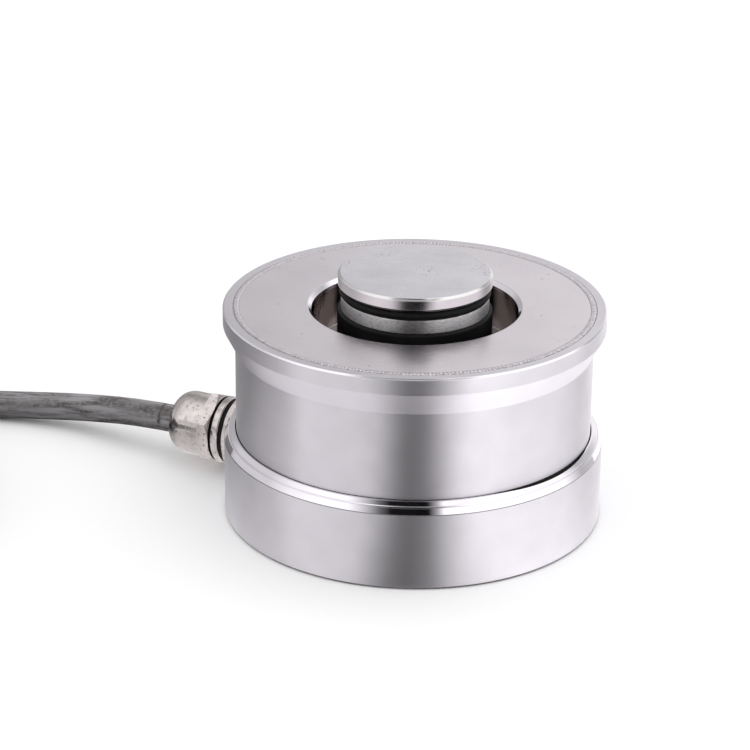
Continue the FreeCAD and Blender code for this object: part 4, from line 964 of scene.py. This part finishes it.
class LOADCELL_OT_measuring_body(bpy.types.Operator):
    """Turns the measuring body and cuts the seat and hole of the gland."""
    bl_idname = "loadcell.measuring_body"
    bl_label = "Measuring body"

    def execute(self, context):
        settings = context.scene.load_cell
        body, gland, colours = settings.body, settings.gland, settings.colours
        shape = turned(self.outline(body, foot("top_cover_plate"), top("bottom_cover_plate")), body.steps)
        shape = combined(shape, laid_on_gland(self.gland_hole(body, gland), gland), "DIFFERENCE")
        shape = combined(shape, self.crescent(body), "DIFFERENCE")
        away = gland_direction(gland)
        for face in shape.faces:
            on_spot_face = face.normal.dot(away) > 0.99
            face.material_index = WALLS if on_spot_face else self.region(face, body)
        finishes = [
            turned_finish("turned_walls", colours.steel, 0.42, 1.0),
            turned_finish("polished_bevels", shade(colours.steel, 1.08), 0.045, 0.3, fineness=9000),
            # Bore and inside of the body: the steel darkened as painted shade.
            turned_finish("bored_inside", shade(colours.bore, 0.95), 0.09, 0.3),
            turned_finish("turned_cone", colours.steel, 0.46, 0.65),
            turned_finish("faced_flange", shade(colours.steel, 0.9), 0.34, 0.5),
            # The foot chamfer and the top edge of the base wall are steel darkened to a line of painted
            # shade.
            turned_finish("dark_edge_line", shade(colours.steel, 0.3), 0.4, 0.0),
            # Faces in the fine groove and its crescent at the foot of the waist are near black: painted
            # shade.
            small_finish("groove_shade", (0.012, 0.011, 0.012), 0.0, 0.7, 900, 0.01 * MM),
        ]
        piece("measuring_body_piece", shape, finishes, ["measuring_body"])
        return {"FINISHED"}

    def outline(self, body, seat, bottom_seat):
        """Half section of the body, from the foot of the base ring round its outside to its inside."""
        edge = body.edge_round
        crisp = edge / 2
        steep = (body.base_radius - body.bevel_radius) / (body.bevel_height - body.base_wall_top)
        ledge_radius = body.base_radius - (body.bead_foot - body.base_wall_top) * steep
        flat = (body.shoulder_height - body.bevel_height) / (body.bevel_radius - body.shoulder_radius)
        bead_top = body.shoulder_height - (body.bead_radius - body.shoulder_radius) * flat
        groove_edge = body.waist_radius + body.groove_width
        groove_floor = body.shoulder_height - body.groove_depth
        return [
            (body.bottom_recess, 0, edge),
            (body.base_radius - body.foot_edge, 0, edge),
            (body.base_radius, body.foot_edge, edge),
            (body.base_radius, body.base_wall_top, edge * 1.2),
            (ledge_radius, body.bead_foot, crisp),
            (body.bead_radius, body.bead_foot, 0),
            (body.bead_radius, bead_top, crisp),
            (body.shoulder_radius, body.shoulder_height, edge * 2),
            (groove_edge, body.shoulder_height, crisp / 2),
            (groove_edge, groove_floor, 0),
            (body.waist_radius, groove_floor, 0),
            (body.waist_radius, body.shoulder_height, 0),
            (body.waist_radius, body.cone_foot, edge * 2),
            (body.base_radius, body.rim_foot, edge),
            (body.base_radius, body.body_top - body.rim_edge, crisp),
            (body.base_radius - body.rim_edge, body.body_top, crisp),
            (body.recess_radius, body.body_top, crisp),
            (body.recess_radius, seat, 0),
            (body.chamber_radius, seat, 0),
            (body.chamber_radius, body.ring_top, 0),
            (body.hub_radius, body.ring_top, 0),
            (body.hub_radius, seat, 0),
            (body.bore_radius, seat, 0),
            (body.bore_radius, body.ledge_height, edge * 3),
            (body.seat_radius, body.ledge_height, edge * 2),
            (body.seat_radius, body.seat_floor, edge * 2),
            (0, body.seat_floor, 0),
            (0, body.hub_foot, 0),
            (body.hub_radius, body.hub_foot, 0),
            (body.hub_radius, body.ring_foot, 0),
            (body.chamber_radius, body.ring_foot, 0),
            (body.chamber_radius, bottom_seat, 0),
            (body.bottom_recess, bottom_seat, 0),
        ]

    def gland_hole(self, body, gland):
        """Cutter for the hole of the thread and the flat round it."""
        inside = body.chamber_radius - 3 * MM
        outside = body.base_radius + 5 * MM
        return turned([
            (0, inside, 0),
            (gland.thread_radius, inside, 0),
            (gland.thread_radius, gland.spot_face, 0),
            (gland.spot_radius, gland.spot_face, 0),
            (gland.spot_radius, outside, 0),
            (0, outside, 0),
        ], HOLE_STEPS, closed=False)

    def crescent(self, body):
        """Cutter that widens the groove at the foot of the waist to one side."""
        beyond = 1 * MM
        low = body.shoulder_height - body.groove_depth * 0.95
        high = body.shoulder_height + beyond
        clear = body.waist_radius + body.groove_width / 3
        cutter = disc(body.waist_radius + body.relief_width - body.relief_shift, low, high, body.steps)
        middle = Vector((math.cos(body.relief_bearing), math.sin(body.relief_bearing), 0)) * body.relief_shift
        bmesh.ops.translate(cutter, verts=cutter.verts, vec=middle)
        return combined(cutter, disc(clear, low - beyond, high + beyond, body.steps), "DIFFERENCE")

    def region(self, face, body):
        """Finish of a face, as a place in the list of finishes."""
        middle = face.calc_center_median()
        radius = math.hypot(middle.x, middle.y)
        fine = 0.06 * MM
        # Faces inside the waist get the bore's steel, darkened as painted shade.
        if radius < body.waist_radius - 1 * MM:
            return INSIDE_PAINTED_SHADE
        # Faces inside the fine groove get the near-black painted shade.
        if body.shoulder_height - body.groove_depth - fine < middle.z < body.shoulder_height - fine / 2:
            inward = face.normal.x * middle.x + face.normal.y * middle.y < -radius / 2
            on_floor = face.normal.z > 0.995 and radius < body.bead_radius - fine
            if inward or on_floor or radius < body.waist_radius + fine:
                return GROOVE_PAINTED_SHADE
        # Rounded top edge of the base wall: a dark line of painted shade.
        if abs(middle.z - body.base_wall_top) < 2 * fine and 0.08 < face.normal.z < 0.42:
            return EDGE_LINE_PAINTED_SHADE
        if body.base_wall_top - 2 * fine < middle.z < body.shoulder_height + fine:
            return BEVELS
        if middle.z > body.body_top - body.rim_edge - fine:
            return FLANGE if radius < body.base_radius - body.rim_edge - fine else BEVELS
        # Foot chamfer: a dark line of painted shade, for the floor in shadow under the cell.
        if middle.z < body.foot_edge + fine:
            return EDGE_LINE_PAINTED_SHADE
        return CONE if body.cone_foot < middle.z < body.rim_foot else WALLS


class LOADCELL_OT_covers(bpy.types.Operator):
    """Turns the welded top cover and the bottom cover."""
    bl_idname = "loadcell.covers"
    bl_label = "Cover plates"

    def execute(self, context):
        settings = context.scene.load_cell
        body, colours = settings.body, settings.colours
        edge = body.edge_round
        outside, seat, bead_top = reach("top_cover_plate"), foot("top_cover_plate"), top("top_cover_plate")
        bead_start = outside - body.weld_width
        shape = turned([
            (body.bore_radius, seat, 0),
            (outside, seat, 0),
            (outside, body.body_top, edge / 2),
            (outside - body.weld_flank, bead_top, edge),
            (bead_start + body.weld_flank, bead_top, edge),
            (bead_start, body.body_top, edge / 2),
            (body.bore_radius + body.bore_chamfer, body.body_top, edge),
            (body.bore_radius, body.body_top - body.bore_chamfer, edge),
        ], body.steps)
        satin = cover_finish("satin_cover", colours.cover, bead_start, outside)
        chamfer = turned_finish("bore_chamfer", shade(colours.steel, 1.1), 0.12, 0.3)
        chamfer_end = body.bore_radius + body.bore_chamfer - edge
        for face in shape.faces:
            middle = face.calc_center_median()
            face.material_index = int(math.hypot(middle.x, middle.y) < chamfer_end)
        piece("top_cover_piece", shape, [satin, chamfer], ["top_cover_plate"])
        rim, low, high = reach("bottom_cover_plate"), foot("bottom_cover_plate"), top("bottom_cover_plate")
        shape = disc(rim, low, high, body.steps, edge * 2, edge)
        piece("bottom_cover_piece", shape, [satin], ["bottom_cover_plate"])
        return {"FINISHED"}


# Finishes of the thrust piece, by their place in its list.
HEAD_TOP, HEAD_SIDE, BELOW_HEAD = range(3)


class LOADCELL_OT_thrust_piece(bpy.types.Operator):
    """Turns the load button, its two O-rings and its rubber sleeve."""
    bl_idname = "loadcell.thrust_piece"
    bl_label = "Thrust piece"

    def execute(self, context):
        settings = context.scene.load_cell
        body, thrust, colours = settings.body, settings.thrust, settings.colours
        edge = body.edge_round
        rim, low, high = reach("thrust_piece"), foot("thrust_piece"), top("thrust_piece")
        shape = turned([
            (0, low, 0),
            (rim - thrust.edge, low, edge),
            (rim, low + thrust.edge, edge),
            (rim, thrust.foot_groove_foot, edge),
            (thrust.foot_groove, thrust.foot_groove_foot, edge),
            (thrust.foot_groove, thrust.foot_groove_top, edge),
            (rim, thrust.foot_groove_top, edge),
            (rim, thrust.foot_top, edge),
            (thrust.stem_radius, thrust.foot_top, edge),
            (thrust.stem_radius, thrust.land_foot, edge),
            (thrust.land_radius, thrust.land_foot, edge * 1.5),
            (thrust.land_radius, thrust.land_top, edge * 1.5),
            (thrust.head_groove, thrust.land_top, edge),
            (thrust.head_groove, thrust.head_foot, edge),
            (thrust.head_radius, thrust.head_foot, thrust.head_round),
            (thrust.head_radius, high - thrust.edge, edge),
            (thrust.head_radius - thrust.edge, high, edge),
            (0, high, 0),
        ], body.steps, closed=False)
        finishes = [
            scuffed_finish("ground_head", colours.thrust),
            turned_finish("turned_head", colours.side, 0.05, 0.3, scuffs=0.03),
            turned_finish("turned_land", colours.side, 0.36, 0.8, scratches=0.8),
        ]
        for face in shape.faces:
            middle = face.calc_center_median()
            inside = math.hypot(middle.x, middle.y) < thrust.head_radius - thrust.edge - edge
            if inside and middle.z > high - edge:
                face.material_index = HEAD_TOP
            else:
                face.material_index = HEAD_SIDE if middle.z > thrust.head_foot else BELOW_HEAD
        piece("thrust_piece_turned", shape, finishes, ["thrust_piece"])
        rubber = rubber_finish("black_rubber", colours.rubber)
        for node in ("head_o_ring", "foot_o_ring"):
            section = top(node) - foot(node)
            ring = rounded_ring(reach(node) - section / 2, (top(node) + foot(node)) / 2, section, body.steps)
            piece(f"{node}_moulded", ring, [rubber], [node])
        shape = band(thrust.stem_radius, reach("rubber_sleeve"), foot("rubber_sleeve"), top("rubber_sleeve"),
                     body.steps, edge * 4, edge * 6)
        piece("sleeve_moulded", shape, [rubber], ["rubber_sleeve"])
        return {"FINISHED"}


class LOADCELL_OT_gland(bpy.types.Operator):
    """Makes the gland body, its black ring, its collar and the domed nut."""
    bl_idname = "loadcell.gland"
    bl_label = "Cable gland"

    def execute(self, context):
        settings = context.scene.load_cell
        gland, colours = settings.gland, settings.colours
        nickel = nickel_finish("nickel_plating", colours.nickel)
        rubber = rubber_finish("gland_rubber", colours.rubber)
        # Near-black painted shade for the end faces in the gaps between the gland's parts.
        gap = small_finish("gap_shade", (0.010, 0.009, 0.009), 0.0, 0.7, 900, 0.01 * MM)
        ring_edge, collar_edge, mouth_edge = 0.25 * MM, 0.35 * MM, 0.1 * MM
        shape = self.body(gland)
        self.darken_ends(shape)
        piece("gland_body_piece", laid_on_gland(shape, gland), [nickel, gap],
              ["gland_body"], gland.edge_round)
        ring = band(gland.nut_bore, gland.ring_radius, gland.body_end, gland.collar_foot, GLAND_STEPS,
                    ring_edge, ring_edge)
        piece("gland_ring_piece", laid_on_gland(ring, gland), [rubber], ["gland_seal_ring"])
        collar_end = gland.collar_end - gland.gap_play
        collar = band(gland.nut_bore, gland.collar_radius, gland.collar_foot, collar_end, GLAND_STEPS,
                      collar_edge, collar_edge)
        self.darken_ends(collar)
        piece("gland_collar_piece", laid_on_gland(collar, gland), [nickel, gap],
              ["gland_collar"])
        shape = self.nut(gland, mouth_edge)
        self.darken_ends(shape, gland.nut_shoulder)
        piece("gland_nut_piece", laid_on_gland(shape, gland), [nickel, gap],
              ["gland_dome_nut"], gland.edge_round)
        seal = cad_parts["gland_seal_insert"].data
        seal.materials.clear()
        seal.materials.append(rubber)
        return {"FINISHED"}

    def body(self, gland):
        """Hexagon on its seat, with the neck that runs through it."""
        wall = (gland.cable_hole + gland.neck_radius) / 2
        block = self.trimmed_hexagon(gland, gland.spot_face, gland.body_end, gland.body_turn, wall)
        neck = turned([
            (gland.cable_hole, gland.thread_end, 0),
            (gland.thread_radius, gland.thread_end, 0),
            (gland.thread_radius, gland.spot_face, 0),
            (gland.neck_radius, gland.spot_face + 0.01 * MM, 0),
            (gland.neck_radius, gland.throat, 0),
            (gland.neck_bore, gland.throat, 0),
            (gland.neck_bore, gland.body_end, 0),
            (gland.cable_hole, gland.body_end, 0),
        ], GLAND_STEPS)
        return combined(block, neck, "UNION")

    def nut(self, gland, mouth_edge):
        """Hexagon with a domed crown, which stands a step inside the flats."""
        wall = (gland.nut_bore + gland.flat_radius) / 2
        start = gland.nut_foot + gland.gap_play
        block = self.trimmed_hexagon(gland, start, gland.nut_shoulder, gland.nut_turn, wall)
        inset = gland.crown_step
        crown = turned([
            (gland.nut_bore, start + inset, 0),
            (gland.flat_radius - inset, start + inset, 0),
            (gland.flat_radius - inset, gland.nut_face, gland.crown_rounding),
            (gland.cable_hole, gland.nut_face, mouth_edge),
            (gland.cable_hole, gland.mouth, 0),
            (gland.nut_bore, gland.throat, 0),
        ], GLAND_STEPS)
        return combined(block, crown, "UNION")

    def darken_ends(self, shape, limit=math.inf):
        """Gives the end faces that look into narrow gaps, below a limit, the second finish, which is
        near-black painted shade.
        """
        for face in shape.faces:
            face.material_index = int(abs(face.normal.z) > 0.98 and face.calc_center_median().z < limit)

    def trimmed_hexagon(self, gland, start, end, turn, inside):
        """Hexagon ring whose corners are turned off at 30 degrees at both ends."""
        slant = math.pi / 6
        corner = gland.flat_radius / math.cos(slant)
        beyond = corner * 1.05
        slope = (beyond - gland.flat_radius) * math.tan(slant)
        envelope = turned([
            (inside, start, 0),
            (gland.flat_radius, start, 0),
            (beyond, start + slope, 0),
            (beyond, end - slope, 0),
            (gland.flat_radius, end, 0),
            (inside, end, 0),
        ], GLAND_STEPS)
        bar = hexagon(corner, start - 1 * MM, end + 1 * MM, turn)
        return combined(envelope, bar, "INTERSECT")


class LOADCELL_OT_cable_end(bpy.types.Operator):
    """Makes the straps of the coil and the sleeve shrunk over the cable end."""
    bl_idname = "loadcell.cable_end"
    bl_label = "Coil straps and cable end"

    def execute(self, context):
        cable = context.scene.load_cell.cable
        plastic = small_finish("tie_plastic", (0.014, 0.014, 0.015), 0.0, 0.38, 1500, 0.012 * MM)
        for number, bearing in enumerate(STRAP_BEARINGS, 1):
            self.strap(cable, f"coil_strap_{number}", math.radians(bearing), plastic, f"coil_tie_{number}")
        radius, tip, reach_out = cable.diameter / 2, cable.sleeve_tip, cable.sleeve_length
        sleeve = turned([
            (0, 0, 0),
            (radius, 0, 0.2 * MM),
            (radius * 0.97, reach_out * 0.3, 0.8 * MM),
            (tip * 1.12, reach_out * 0.72, 0.8 * MM),
            (tip, reach_out, 0.3 * MM),
            (0, reach_out, 0),
        ], SLEEVE_STEPS, closed=False)
        bmesh.ops.transform(sleeve, matrix=tail_end(cable), verts=sleeve.verts)
        finish = small_finish("shrink_sleeve", (0.015, 0.015, 0.016), 0.0, 0.36, 1200, 0.02 * MM)
        piece("shrunk_sleeve", sleeve, [finish], ["cable_end_sleeve"])
        return {"FINISHED"}

    def strap(self, cable, name, bearing, plastic, node):
        """Flat strap pulled round the section of the coil."""
        half = cable.coil_pitch / 2
        skin = cable.tie_thickness / 2
        bend = 2.2 * MM
        inside = cable.inner_turn - half - cable.tie_gap - skin
        outside = cable.outer_turn + half + cable.tie_gap + skin
        step = cable.coil_floor - cable.diameter / 2 + 3 * cable.coil_pitch
        high = step + cable.coil_pitch + cable.tie_gap + skin
        shoulder = cable.tail_turn + cable.diameter / 2
        corners = ((inside, skin), (outside, skin), (outside, step + skin / 2), (shoulder + skin / 2, high),
                   (inside, high))
        shape = bmesh.new()
        loop = [shape.verts.new((across, -cable.tie_width / 2, height)) for across, height in corners]
        for point, follower in zip(loop, loop[1:] + loop[:1]):
            shape.edges.new((point, follower))
        bmesh.ops.bevel(shape, geom=loop, offset=bend, offset_type="OFFSET", segments=5, profile=0.5,
                        affect="VERTICES", material=-1)
        grown = bmesh.ops.extrude_edge_only(shape, edges=shape.edges[:])
        bmesh.ops.translate(shape, verts=grown_points(grown), vec=(0, cable.tie_width, 0))
        bmesh.ops.recalc_face_normals(shape, faces=shape.faces)
        bmesh.ops.transform(shape, verts=shape.verts,
                            matrix=Matrix.Translation((cable.coil_across, cable.coil_back, 0))
                            @ Matrix.Rotation(bearing, 4, "Z"))
        made = piece(name, shape, [plastic], [node])
        wall = made.modifiers.new("Thickness", "SOLIDIFY")
        wall.thickness = cable.tie_thickness
        wall.offset = 0
        edges = made.modifiers.new("Soft edges", "BEVEL")
        edges.width = 0.25 * MM
        edges.segments = 2
        edges.limit_method = "ANGLE"
        made.modifiers.move(0, 2)


class LOADCELL_OT_small_pieces(bpy.types.Operator):
    """Gives the inner pieces and the leads, which keep their CAD shape, their finishes."""
    bl_idname = "loadcell.small_pieces"
    bl_label = "Inner pieces and leads"

    def execute(self, context):
        for slot, nodes, *finish in SMALL_PIECES:
            material = small_finish(slot, *finish)
            for node in nodes:
                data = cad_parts[node].data
                data.materials.clear()
                data.materials.append(material)
        return {"FINISHED"}


OPERATORS = (
    LOADCELL_OT_stage,
    LOADCELL_OT_measuring_body,
    LOADCELL_OT_covers,
    LOADCELL_OT_thrust_piece,
    LOADCELL_OT_gland,
    LOADCELL_OT_cable_end,
    LOADCELL_OT_small_pieces,
    LOADCELL_OT_cable,
)


class LOADCELL_PT_panel(bpy.types.Panel):
    """Lists the pieces of the load cell and their sizes."""
    bl_idname = "LOADCELL_PT_panel"
    bl_label = "Load cell"
    bl_space_type = "VIEW_3D"
    bl_region_type = "UI"
    bl_category = "Load cell"

    def draw(self, context):
        settings = context.scene.load_cell
        for operator in OPERATORS:
            self.layout.operator(operator.bl_idname)
        for name in ("body", "thrust", "gland", "cable", "colours", "studio"):
            group = getattr(settings, name)
            box = self.layout.box()
            box.label(text=name.capitalize())
            for key in group.__annotations__:
                box.prop(group, key)


CLASSES = (BodySizes, ThrustSizes, GlandSizes, CableSizes, FinishColours, StudioSettings, LoadCellSettings,
           *OPERATORS, LOADCELL_PT_panel)


def register():
    """Registers the classes and hangs the settings on the scene."""
    for item in CLASSES:
        bpy.utils.register_class(item)
    bpy.types.Scene.load_cell = PointerProperty(type=LoadCellSettings)


def unregister():
    """Takes the settings and the classes away."""
    del bpy.types.Scene.load_cell
    for item in reversed(CLASSES):
        bpy.utils.unregister_class(item)


def main():
    """Builds the part in order."""
    register()
    bpy.ops.loadcell.stage()
    bpy.ops.loadcell.measuring_body()
    bpy.ops.loadcell.covers()
    bpy.ops.loadcell.thrust_piece()
    bpy.ops.loadcell.gland()
    bpy.ops.loadcell.cable_end()
    bpy.ops.loadcell.small_pieces()
    bpy.ops.loadcell.cable()


if __name__ == "__main__":
    main()
